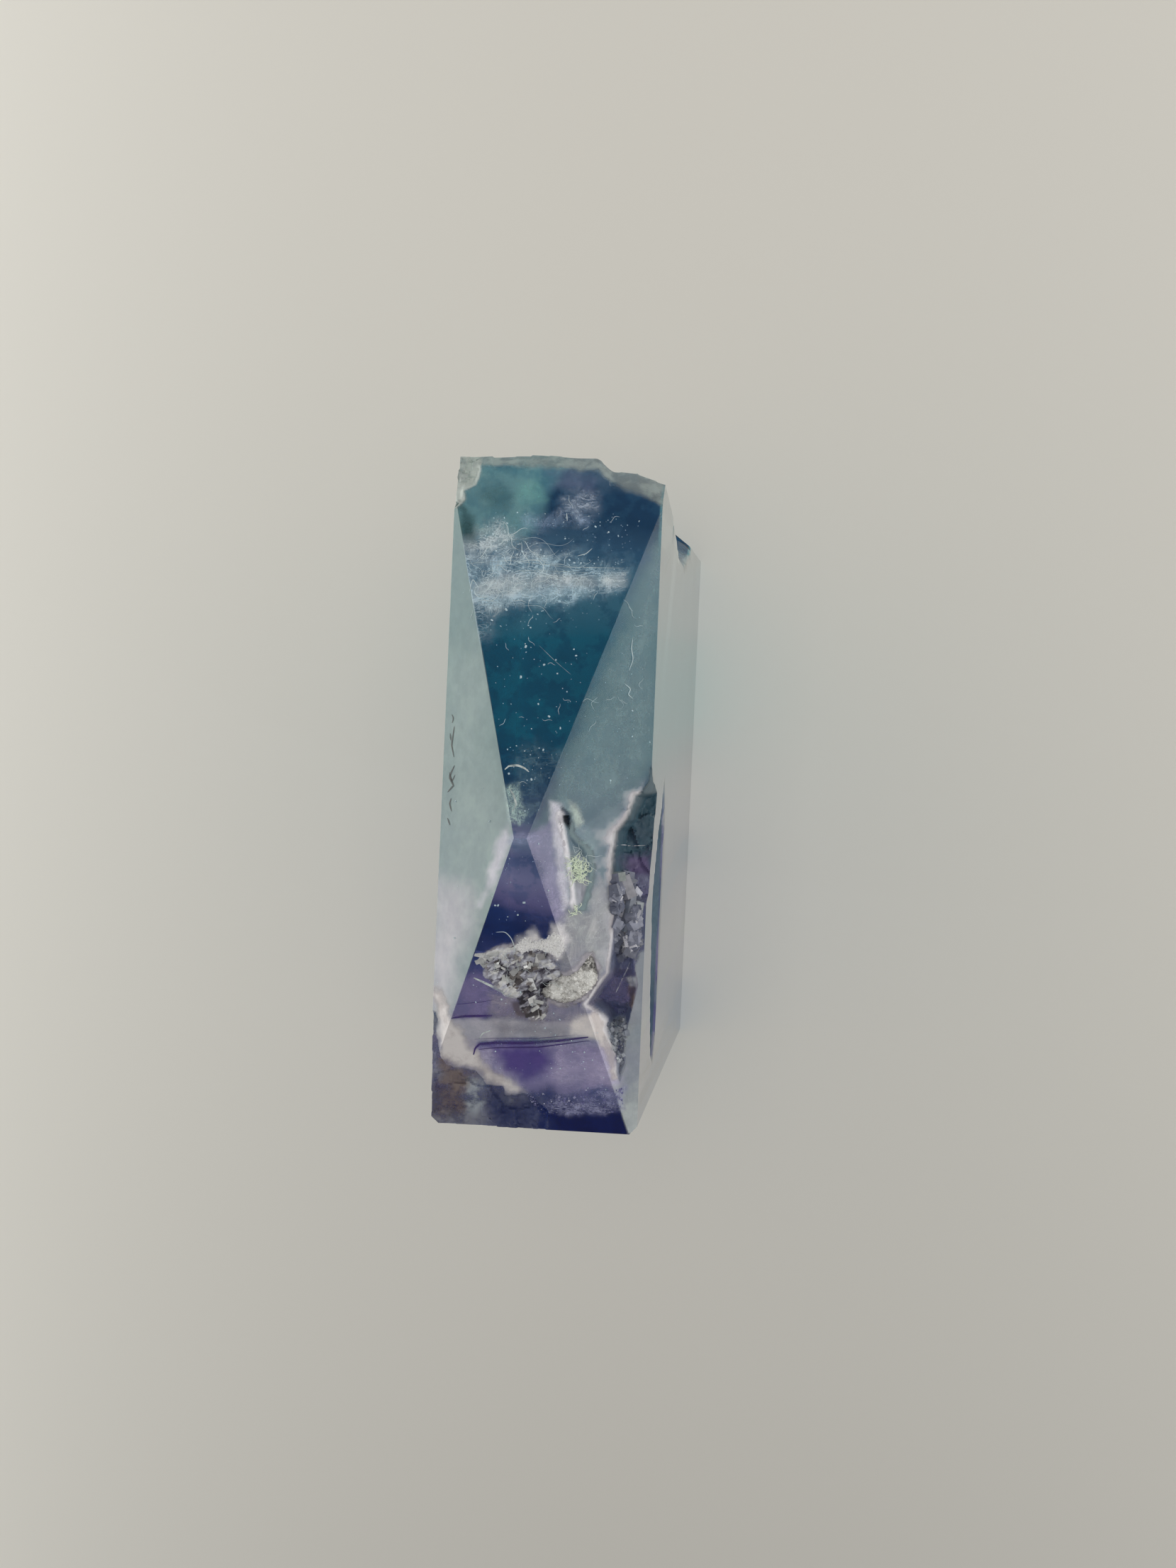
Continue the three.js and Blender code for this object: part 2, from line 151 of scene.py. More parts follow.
def plates(x, y, cell, seed):
    """Broken stone: each point takes the height of the tilted plate whose centre lies nearest."""
    column, row = np.floor(x / cell), np.floor(y / cell)
    nearest = np.full(np.shape(x + y), np.inf)
    height = np.zeros_like(nearest)
    for i in (-1, 0, 1):
        for j in (-1, 0, 1):
            a, b = column + i, row + j
            dx = x - (a + scatter(a, b, seed)) * cell
            dy = y - (b + scatter(a, b, seed + 1)) * cell
            distance = np.hypot(dx, dy)
            tilt = (dx * (scatter(a, b, seed + 3) - 0.5) + dy * (scatter(a, b, seed + 4) - 0.5)) / cell
            closer = distance < nearest
            nearest = np.where(closer, distance, nearest)
            height = np.where(closer, scatter(a, b, seed + 2) - 0.5 + tilt, height)
    return height


def inside_distance(outline, x, y):
    """Distance to an outline, positive inside it: the nearest of its straight sides, and a sign
    from how many of them a line to the right would cross."""
    nearest = np.full(np.shape(x + y), np.inf)
    inside = np.zeros(nearest.shape, bool)
    for (x0, y0), (x1, y1) in zip(outline, outline[1:] + outline[:1]):
        dx, dy = x1 - x0, y1 - y0
        along = np.clip(((x - x0) * dx + (y - y0) * dy) / (dx * dx + dy * dy), 0, 1)
        nearest = np.minimum(nearest, np.hypot(x - x0 - along * dx, y - y0 - along * dy))
        if dy:
            inside ^= ((y0 > y) != (y1 > y)) & (x < x0 + dx * (y - y0) / dy)
    return np.where(inside, nearest, -nearest)


# ---- the tower's surfaces ----
def face_height(face, x, y):
    """Height of one face's plane over (x, y): the apex less slope times the way downhill."""
    slope, heading, ridge_x = POINT_FACES[face]
    turn = np.radians(heading)
    downhill = (x - ridge_x) * np.cos(turn) + (y - APEX_Y) * np.sin(turn)
    return HEIGHT - np.tan(np.radians(slope)) * downhill


def point_height(x, y):
    """Height of the four-faced point over (x, y): the lowest of its four planes."""
    return np.min([face_height(face, x, y) for face in POINT_FACES], axis=0)


def floor_depth(hollow, x, y):
    """Depth of a hollow's floor under the point's faces, before its relief."""
    if "floor" in hollow:
        floor = profile(hollow["floor"], y) + hollow["inward_rise"] * np.maximum(0, HALF_WIDTH - x)
        return point_height(x, y) - floor
    if "floor_at_front" in hollow:
        floor = hollow["floor_at_front"] + hollow["floor_rise"] * (y + HALF_LENGTH)
        return np.maximum(0.1, point_height(x, y) - floor)
    return hollow["depth"]


def hollow_depth(hollow, x, y):
    """Depth of a hollow and the distance inside its mouth: the floor's depth, plates and splinters,
    let in by an S-curve from a wavering mouth."""
    seed = hollow["seed"]
    inside = inside_distance(hollow["mouth"], x, y) + 0.07 * swells(x, y, 0.31, seed + 5)
    relief = hollow["relief"] * plates(x, y, hollow["cell"], seed)
    splinters = 0.16 * plates(x, y, 0.45, seed + 6) + 0.05 * swells(x, y, 0.22, seed + 7)
    wall = smoothstep(inside, 0, hollow["wall"])
    return wall * (floor_depth(hollow, x, y) + relief + splinters), inside


def back_wall(x, z):
    """Y of the broken back wall: a step, a cut-back right corner, a swell and a slow swing, with
    fine fracture relief pressed into it."""
    half = BACK_STEP["half_width"]
    step = BACK_STEP["depth"] * smoothstep(x, BACK_STEP["x"] - half, BACK_STEP["x"] + half)
    corner = profile(BACK_CORNER["slope"], z) * np.maximum(0, x - BACK_CORNER["x"])
    bulge = np.exp(-(((x - BACK_SWELL["x"]) / BACK_SWELL["half_width"]) ** 2))
    swell = BACK_SWELL["height"] * (1 - bulge)
    swing = 0.5 + 0.5 * np.sin(z / BACK_SKIN["rise"] + x / BACK_SKIN["run"])
    skin = BACK_SKIN["depth"] * swing * smoothstep(z, 0, BACK_SKIN["foot_z"])
    fracture = 0.16 * (1 + plates(x, z * 0.45, 1.5, 47)) * smoothstep(z, 0, 1.5)
    return HALF_LENGTH - step - corner - swell - skin - fracture


def rim_height(x, y):
    """Height of the rough rim over (x, y): its foot plus the way in from the foot line over its
    lean, roughened by plates."""
    foot_z = BACK_RIM["foot_z"]
    relief = plates(x, np.full_like(x, foot_z + 0.7), BACK_RIM["cell"], BACK_RIM["seed"])
    return foot_z + (back_wall(x, foot_z) - y) / (BACK_RIM["lean"] * (1 + BACK_RIM["relief"] * relief))


def top_height(x, y):
    """Height of the tower's top over (x, y) and how broken it is (0 polished, 1 broken): the faces
    less the deepest hollow, cut off by the rim."""
    faces = point_height(x, y)
    depth = np.zeros_like(faces)
    broken = np.zeros_like(faces)
    for hollow in TOP_HOLLOWS:
        here, inside = hollow_depth(hollow, x, y)
        depth = np.maximum(depth, here)
        broken = np.maximum(broken, smoothstep(inside, -0.05, 0.12))
    rim = rim_height(x, y)
    broken = np.maximum(broken, smoothstep(faces - depth - rim, -0.1, 0.05))
    return np.minimum(faces - depth, rim), broken


def right_wall(y, z):
    """X of the right wall: the plane, less the scoop and the hollow on its back edge, each let in
    by an S-curve, and how broken it is."""
    hollowed = np.zeros(np.shape(y + z))
    broken = np.zeros_like(hollowed)
    for hollow, roughness in ((SCOOP, 0.25), (EDGE_HOLLOW, 0.7)):
        inside = inside_distance(hollow["mouth"], y, z)
        depth = hollow["depth"] * smoothstep(inside, 0, hollow["wall"])
        ripples = 0.05 * swells(y, z, 1.7, 53) * smoothstep(inside, 0, 1)
        hollowed = np.maximum(hollowed, depth + ripples)
        broken = np.maximum(broken, roughness * smoothstep(inside, 0, 0.5))
    return HALF_WIDTH - hollowed, broken


# ---- the tower's grid ----
LEFT_COLUMNS, RIDGE_COLUMNS, RIGHT_COLUMNS = 20, 100, 64
CHAMFER_ROWS, RIM_ROWS = 4, 30
BEND_Y, RIM_START_Y = 4.3, 28.4
# Stretches of rows towards the back: the Y where each ends and its rows.
ROW_STRETCHES = [(APEX_Y, 175), (BEND_Y, 57), (23.2, 37)]
WALL_LEVELS = np.concatenate([[0, 6, 12, 17], np.arange(20, 66.1, 0.85)])
SHOULDER_LEVELS = 10
NARROWEST = 0.15

# Edges that turn by more than this many degrees stay sharp, and covers below this are left out.
SHARP_ANGLE = 25
LEAST_COVER = 0.02


def row_places():
    """Y of each row from the front wall to where the back rim starts: close over the hollows, wider
    over plain polish, with one row on the level ridge at the apex."""
    places = [np.linspace(-HALF_LENGTH, -HALF_LENGTH + CORNER_CHAMFER, CHAMFER_ROWS + 1)]
    for end, rows in ROW_STRETCHES:
        places.append(np.linspace(places[-1][-1], end, rows + 1)[1:])
    return np.concatenate(places)


def ridge_places(y):
    """X of the left and right ridges at y, where the faces on each side stand equally high."""
    left_slope, right_slope, back_slope, front_slope = (
        np.tan(np.radians(POINT_FACES[face][0])) for face in ("left", "right", "back", "front"))
    away = y - APEX_Y
    fall = np.where(away > 0, back_slope * away, -front_slope * away)
    turn = np.radians(POINT_FACES["right"][1])
    left = APEX_LEFT - fall / left_slope
    right = APEX_RIGHT + (fall / right_slope - away * np.sin(turn)) / np.cos(turn)
    return left, right


def top_grid():
    """X and Y of the top's vertices, row by row: each row runs from side to side through the two
    ridges, and the last rows bend to the foot line of the back rim."""
    straight = row_places()
    share = np.linspace(0, 1, RIM_ROWS + 1)[1:]
    y = np.concatenate([straight, straight[-1] + share * (RIM_START_Y - straight[-1])])[:, None]
    y = y + np.zeros(LEFT_COLUMNS + RIDGE_COLUMNS + RIGHT_COLUMNS + 1)
    # the foot line and the ridges follow from each other, so a few passes settle them
    for _ in range(5):
        half = HALF_WIDTH - np.maximum(0, -HALF_LENGTH + CORNER_CHAMFER - y[:, 0])
        left = np.maximum(ridge_places(y[:, LEFT_COLUMNS])[0], -half + NARROWEST)
        right = np.minimum(ridge_places(y[:, LEFT_COLUMNS + RIDGE_COLUMNS])[1], half - NARROWEST)
        x = np.concatenate([
            np.linspace(-half, left, LEFT_COLUMNS, endpoint=False),
            np.linspace(left, right, RIDGE_COLUMNS, endpoint=False),
            np.linspace(right, half, RIGHT_COLUMNS + 1),
        ]).T
        foot = back_wall(x[-RIM_ROWS:], BACK_RIM["foot_z"])
        y[-RIM_ROWS:] = straight[-1] + share[:, None] * (foot - straight[-1])
    return x, y


def grid_faces(rows, columns, first=0):
    """Four-cornered faces between neighbouring rows and columns of a grid of vertices."""
    index = first + np.arange(rows * columns).reshape(rows, columns)
    return np.stack([index[:-1, :-1], index[:-1, 1:], index[1:, 1:], index[1:, :-1]], -1).reshape(-1, 4)


def face_means(values):
    """The mean of a grid's numbers at the four corners of each face, in the faces' order."""
    return ((values[:-1, :-1] + values[:-1, 1:] + values[1:, 1:] + values[1:, :-1]) / 4).ravel()


def tower_mesh(x, y, z, broken):
    """The whole tower as one closed surface: a height field for the top, grids for the right and
    back walls, flat faces for the rest, all sharing the top's outer vertices."""
    points, faces, rough = [], [], []

    def add_grid(x, y, z, broken):
        """Adds a grid's vertices and faces; gives the vertices' numbers."""
        first = sum(len(p) for p in points)
        points.append(np.stack([x, y, z], -1).reshape(-1, 3))
        faces.extend(grid_faces(*x.shape, first).tolist())
        rough.append(face_means(broken))
        return first + np.arange(x.size).reshape(x.shape)

    top = add_grid(x, y, z, broken)

    # the right back corner, level by level, where both broken walls meet after a few passes
    shoulder = np.linspace(0, 1, SHOULDER_LEVELS + 1)[1:]
    rise = BACK_RIM["foot_z"] - WALL_LEVELS[-1]
    levels = np.concatenate([WALL_LEVELS, WALL_LEVELS[-1] + shoulder * rise])
    corner_x = np.full(levels.shape, HALF_WIDTH)
    for _ in range(8):
        corner_y = back_wall(corner_x, levels)
        corner_x = right_wall(corner_y, levels)[0]

    # right wall, from its front chamfer to that corner
    side_y, side_top = y[CHAMFER_ROWS:, -1], z[CHAMFER_ROWS:, -1]
    wall_z = np.concatenate([
        WALL_LEVELS[None, :] + 0 * side_y[:, None],
        WALL_LEVELS[-1] + shoulder[None, :] * (side_top[:, None] - WALL_LEVELS[-1]),
    ], axis=1)
    end_y = np.interp(wall_z, levels, corner_y)
    pulled = BEND_Y + (side_y[:, None] - BEND_Y) * (end_y - BEND_Y) / (side_y[-1] - BEND_Y)
    wall_y = np.where(side_y[:, None] > BEND_Y, pulled, side_y[:, None])
    wall_y[:, -1] = side_y
    wall_x, wall_broken = right_wall(wall_y, wall_z)
    wall_x[:, -1] = HALF_WIDTH
    right = add_grid(wall_x, wall_y, wall_z, wall_broken)

    # back wall, hung from the rim's foot line
    narrowed = (x[-1][None, :] + HALF_WIDTH) / (2 * HALF_WIDTH)
    back_x = -HALF_WIDTH + narrowed * (corner_x[:, None] + HALF_WIDTH)
    back_z = levels[:, None] + 0 * back_x
    back_y = back_wall(back_x, back_z)
    back_x[:, -1], back_y[:, -1] = wall_x[-1], wall_y[-1]
    back_y[-1] = y[-1]
    back = add_grid(back_x, back_y, back_z, np.ones(back_x.shape))

    # flat faces: left wall, left chamfer, front wall, right chamfer and base
    first = sum(len(p) for p in points)
    inner, flat = HALF_WIDTH - CORNER_CHAMFER, -HALF_LENGTH + CORNER_CHAMFER
    points.append(np.array([
        (-HALF_WIDTH, flat, 0), (-inner, -HALF_LENGTH, 0), (inner, -HALF_LENGTH, 0), (HALF_WIDTH, flat, 0)]))
    flats = [
        np.r_[top[CHAMFER_ROWS:, 0], back[-2::-1, 0], first],
        np.r_[top[:CHAMFER_ROWS + 1, 0], first, first + 1],
        np.r_[top[0], first + 2, first + 1],
        np.r_[top[:CHAMFER_ROWS + 1, -1], first + 3, first + 2],
        np.r_[first, first + 1, first + 2, right[:, 0], back[0, -2::-1]],
    ]
    faces.extend(outline.tolist() for outline in flats)
    rough.append(np.zeros(len(flats)))
    return np.concatenate(points), faces, {}, {"broken": np.concatenate(rough)}


def add_mesh(name, finish, points, faces, own, face_own=None, closed=False):
    """A piece from points in millimetres, faces, and numbers or colours by attribute name for each
    point or each face; a closed one has doubles merged and its faces turned outwards."""
    mesh = bpy.data.meshes.new(name)
    faces = faces if isinstance(faces, list) else faces.tolist()
    mesh.from_pydata((np.asarray(points) * MM).tolist(), [], faces)
    for domain, table in (("POINT", own), ("FACE", face_own or {})):
        for key, numbers in table.items():
            numbers = np.asarray(numbers, np.float32)
            if numbers.ndim == 1:
                mesh.attributes.new(key, "FLOAT", domain).data.foreach_set("value", numbers)
            else:
                colours = np.concatenate([numbers, np.ones((len(numbers), 1), np.float32)], 1)
                mesh.attributes.new(key, "FLOAT_COLOR", domain).data.foreach_set("color", colours.ravel())
    if closed:
        work = bmesh.new()
        work.from_mesh(mesh)
        bmesh.ops.remove_doubles(work, verts=work.verts, dist=2e-6)
        bmesh.ops.recalc_face_normals(work, faces=work.faces)
        work.to_mesh(mesh)
        work.free()
    mesh.shade_smooth()
    mesh.set_sharp_from_angle(angle=np.radians(SHARP_ANGLE))
    mesh.materials.append(finish)
    piece = bpy.data.objects.new(name, mesh)
    bpy.context.scene.collection.objects.link(piece)
    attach(piece, "root")
    return piece


# ---- milky growth just under the polish, and the frosted or stained skins of broken places, with a painted highlight and a painted shade among them ----
# Each zone: the face or hollow that it keeps to, softness of its edge, cover, colour, how wispy it
# is (0 even, 1 wisps) and outline (X, Y).
MILKY_ZONES = [
    ("left_haze", "left", 1, 0.72, (0.2, 0.32, 0.3), 0,
     [(-12, -19), (-12, 30), (2, 30), (2, -19)]),
    ("left_low_haze", "left", 3.5, 0.72, (0.25, 0.35, 0.34), 0,
     [(-9.5, -19), (-9.5, 12), (-5, 12), (-1.4, -3.7), (-8, -19.5)]),
    ("left_foot_blush", "left", 2.4, 0.8, (0.55, 0.52, 0.58), 0,
     [(-9.5, -8), (-6.5, -9), (-5, -11), (-6.4, -15.5), (-7.4, -19), (-9.5, -19)]),
    # Painted highlight: a pale lavender band along the left ridge, laid as a milky skin.
    ("left_ridge_painted_highlight", "left", 0.45, 0.6, (0.9, 0.84, 0.96), 0.15,
     [(-1.6, -4), (-2.2, -2.8), (-3, -4.2), (-3.7, -6.5), (-4.4, -9.6), (-3.6, -8.6), (-2.4, -6)]),
    ("right_haze", "right", 0.8, 0.55, (0.14, 0.26, 0.27), 0.05,
     [(9.5, 25), (9.5, 3), (7.6, 0.2), (5.9, -4), (6.3, -13), (4.6, -15.2), (0, -3.6)]),
    ("right_streaks", "right", 1.6, 0.16, (0.62, 0.78, 0.8), 1,
     [(8.7, 20), (8.8, 3), (7, 0.5), (4.6, -1), (2.6, -1.6), (1.4, 0.5), (5, 8)]),
    ("front_right_haze", "right", 0.3, 0.74, (0.62, 0.68, 0.66), 0.12,
     [(4.2, -18.6), (6.5, -18.9), (7, -23), (7.6, -25.2), (9.5, -24), (9.5, -30), (8.2, -30), (7.2, -26)]),
    ("cavity_shoulder", "right", 0.6, 0.6, (0.24, 0.33, 0.37), 0.1,
     [(3.9, -3.4), (5.1, -1.6), (7.2, 0.2), (8.2, 1.2), (7, -1.7), (6.1, -3), (5.9, -4.8), (5.9, -6.5),
      (6.5, -8.5), (6.2, -12.7), (5.9, -15), (5, -15.6), (4.6, -12.5), (4.3, -10), (4.7, -6.8)]),
    ("low_shoulder", "right", 0.5, 0.75, (0.57, 0.57, 0.59), 0.3,
     [(4.3, -8.9), (5.2, -7), (6.6, -8), (6.4, -12.4), (6.1, -14.6), (5.3, -16.1), (4.9, -14.6),
      (4.6, -11.5)]),
    ("right_edge_haze", "right", 0.2, 0.82, (0.31, 0.35, 0.37), 0.12,
     [(8.45, -13.4), (9.5, -13), (9.5, -26.5), (7.5, -26.3), (7.3, -23.6), (7.7, -19.5), (8, -16)]),
    ("slot_lavender", "right", 0.45, 0.72, (0.42, 0.39, 0.6), 0.35,
     [(-0.6, -3.8), (1.4, -2.2), (1.9, -5.2), (2.5, -8), (2.9, -10.5), (2.2, -11.2), (1.2, -8.4),
      (0.3, -5.6)]),
    ("slot_bright_side", "right", 0.3, 0.8, (0.9, 0.88, 0.98), 0.35,
     [(1.3, -0.7), (2.1, -0.9), (2.1, -2.1), (2.75, -3.6), (2.75, -6.4), (3.05, -9.1), (2.6, -9.5),
      (2.1, -7), (1.6, -4), (1.3, -2)]),
    ("slot_side", "right", 0.4, 0.45, (0.34, 0.5, 0.52), 0.5,
     [(2.3, -0.6), (3.2, -1.6), (4.5, -3.1), (4.9, -5.3), (4.7, -7.4), (4.1, -9.8), (3.2, -9.6), (2.9, -6),
      (2.7, -3.2)]),
    ("slot_cloud", "right", 0.25, 0.6, (0.66, 0.76, 0.66), 0.6,
     [(2.6, -0.5), (3.2, -0.8), (3.8, -2.2), (3.4, -2.7), (2.9, -1.6)]),
    ("tongue", None, 0.5, 0.74, (0.58, 0.58, 0.59), 0.4,
     [(2.7, -9.8), (3.9, -9.2), (5.2, -10.6), (5.2, -12.9), (3.9, -14.7), (2.4, -14.9), (1.8, -13.4),
      (2.2, -11.5)]),
    ("green_glow", "back", 1, 0.34, (0.34, 0.56, 0.53), 0.6,
     [(-9, 22.5), (-7, 20.5), (-5, 21.2), (-2.4, 22.3), (-1.3, 24), (-1.3, 25.8), (-2.9, 27.4), (-9, 28)]),
    ("green_shade", "back", 0.5, 0.8, (0.01, 0.05, 0.055), 0.2,
     [(-8.4, 24.2), (-7.2, 23), (-6.4, 20), (-7.1, 18.6), (-8, 21)]),
    ("teal_shade", "back", 0.9, 0.5, (0.02, 0.1, 0.14), 0.3,
     [(-6.6, 25.6), (-5, 26.2), (-3.8, 25.2), (-4.2, 23.4), (-6.2, 23.6)]),
    ("green_heart", "back", 0.7, 0.6, (0.28, 0.66, 0.58), 0.5,
     [(-3.5, 25.9), (-1.7, 26.5), (-1.3, 24.8), (-3.3, 24.3)]),
    ("violet_smoke", "back", 0.7, 0.34, (0.28, 0.3, 0.5), 0.5,
     [(-1.5, 27.6), (1.5, 27.6), (3.4, 26.8), (3, 25.6), (-0.4, 26)]),
    ("cloud_patch", "back", 0.8, 0.75, (0.62, 0.72, 0.88), 1,
     [(0.4, 24.9), (1.9, 25.9), (3.3, 25.4), (3.5, 24), (1.7, 23.4), (0.4, 23.9)]),
    ("high_wisp", "back", 0.6, 0.45, (0.52, 0.68, 0.94), 1,
     [(-3, 23.2), (0.3, 23.6), (3.2, 23.5), (2.7, 22.8), (-0.6, 22.4), (-2.6, 22.3)]),
    ("feather_heart", "back", 1.1, 1, (0.84, 0.95, 1), 0.95,
     [(-7.6, 20.2), (-5.1, 22.3), (-3.6, 21.6), (-2.4, 20.6), (0.5, 19.8), (-1.1, 17.6), (-2.4, 15.9),
      (-5.1, 15.2), (-7.2, 16.4)]),
    ("feather_band", "back", 1, 0.88, (0.62, 0.86, 1), 1,
     [(-7.7, 19.2), (-2.4, 20), (3.6, 19.6), (6.3, 18.9), (5.8, 17), (1.4, 16.4), (-2.1, 15.6), (-5.1, 15),
      (-7.1, 16)]),
    ("feather_floor", "back", 0.5, 0.7, (0.64, 0.84, 0.96), 0.6,
     [(-7.3, 17.6), (-4, 17.2), (0, 17.6), (5.7, 18), (5.6, 17.1), (1.2, 16.6), (-2.4, 15.9), (-5.1, 15.3),
      (-7, 16.1)]),
    ("feather_core", "back", 0.45, 0.95, (0.86, 0.96, 1), 0.7,
     [(-6.9, 17.2), (-4, 18.2), (0, 18.5), (3, 18.3), (6, 18.6), (6.1, 17.6), (0, 17.3), (-4, 16.4),
      (-6.5, 16.2)]),
    ("lower_feathers", "back", 0.7, 0.34, (0.66, 0.84, 0.96), 1,
     [(-7, 15.6), (-5, 15.2), (-4.4, 12.8), (-5.8, 12.2), (-6.6, 13.6)]),
    ("apex_bits", "back", 0.3, 0.9, (0.66, 0.88, 0.82), 1,
     [(-2.4, 0.6), (-1.4, 0.6), (-0.7, -1.6), (-1, -2.6), (-1.9, -2.2)]),
    ("apex_grain", "back", 0.8, 0.22, (0.4, 0.6, 0.66), 1,
     [(-1.6, 3.6), (2.6, 3.6), (1.4, 1), (0.2, -2.2), (-1.2, -2.4), (-1.8, 0.4)]),
    ("crossing_glow", None, 0.3, 0.55, (0.46, 0.5, 0.76), 0.7,
     [(-1.6, -3.3), (-0.6, -3.5), (0.5, -3.4), (0.5, -4.1), (-0.6, -4), (-1.7, -4.1)]),
    ("front_mist", "front", 1.1, 0.1, (0.42, 0.38, 0.7), 0.9,
     [(-4, -5.5), (1.6, -6), (3, -10), (3.2, -12.6), (0.2, -11.6), (-1.6, -10)]),
    ("violet_band", "front", 0.7, 0.5, (0.4, 0.33, 0.58), 0.35,
     [(-6.3, -15.6), (-3.2, -15.6), (-1.4, -17.2), (-2.6, -18.9), (-6.8, -19.3)]),
    ("smoky_band", "front", 0.5, 0.66, (0.42, 0.39, 0.43), 0.5,
     [(-3.6, -16.8), (-1.6, -17.2), (0.2, -19), (5.6, -17.9), (6.2, -19), (5.4, -19.6), (-3.4, -19.6)]),
    ("pale_growth", None, 0.25, 0.88, (0.64, 0.62, 0.69), 0.15,
     [(-7.8, -19.2), (-6.5, -19.45), (-3.1, -19.3), (0, -19.3), (4.3, -19.1), (6.2, -18.5), (6.2, -20.3),
      (4.7, -20.6), (0, -20.75), (-3.2, -21.2), (-4.6, -21.4), (-5.4, -22.8), (-7.4, -22.3)]),
    ("pale_growth_smoke", "front", 0.9, 0.8, (0.3, 0.29, 0.34), 0.3,
     [(-3.4, -19.5), (0, -19.4), (3.2, -19.4), (3, -20.6), (0, -20.7), (-3, -21)]),
    ("brown_wedge", "front", 0.18, 0.85, (0.12, 0.095, 0.1), 0.1,
     [(-1.9, -17.6), (-0.5, -17.7), (0.4, -18.9), (-1.3, -19)]),
    ("smoky_glass", None, 0.25, 0.75, (0.44, 0.43, 0.5), 0.4,
     [(1.5, -17.7), (3.6, -17.5), (5.2, -18.3), (4.3, -19.2), (2.2, -19.1), (0.4, -19.2)]),
    ("pale_growth_end", None, 0.4, 1, (1, 0.94, 0.91), 0.12,
     [(3.4, -19), (5, -18.4), (6.3, -18.4), (6.3, -20.4), (4.8, -20.6), (3.4, -20.2)]),
    ("lavender_bed", None, 0.3, 0.62, (0.45, 0.4, 0.65), 0.3,
     [(-5.1, -22.4), (-4.6, -21.7), (-3, -21.5), (0.5, -21.3), (4.9, -20.5), (6.5, -20.8), (7, -22.8),
      (7.4, -24.6), (4.8, -25.1), (3, -25.9), (1.4, -25.7), (-0.4, -25.8), (-2, -25.3), (-3.7, -24),
      (-5, -23)]),
    ("lavender_bloom", None, 0.9, 0.62, (0.6, 0.54, 0.76), 0.35,
     [(1.5, -21.6), (6.3, -21.2), (6.9, -22.8), (7.1, -24.5), (4.7, -24.8), (2, -25.2)]),
    ("lavender_chalk", None, 0.6, 0.7, (0.7, 0.66, 0.8), 0.35,
     [(-4.8, -22.9), (-3.6, -22.2), (-1.6, -24.4), (-0.6, -25.6), (-2.4, -25)]),
    ("deep_violet", "front", 0.9, 0.85, (0.075, 0.04, 0.28), 0.1,
     [(-3.4, -21.8), (0.8, -21.5), (1.6, -22.9), (-0.4, -24.7), (-2.2, -23.6)]),
    ("fleck_line", None, 0.5, 0.8, (0.4, 0.41, 0.64), 0.9,
     [(-0.7, -25.9), (1.4, -25.7), (3, -26), (4.8, -25.2), (7.6, -25.2), (7.8, -26.8), (4, -27.6),
      (0.6, -27.4)]),
    ("white_cloud", None, 0.5, 1, (1, 0.97, 0.98), 0.15,
     [(-1.9, -13.4), (-1.1, -12.1), (0.4, -11.6), (1.4, -12.4), (1.7, -11), (2.7, -10.9), (3, -13),
      (2.3, -13.8), (1.6, -13.3), (0.6, -12.6), (-0.6, -12.6)]),
]
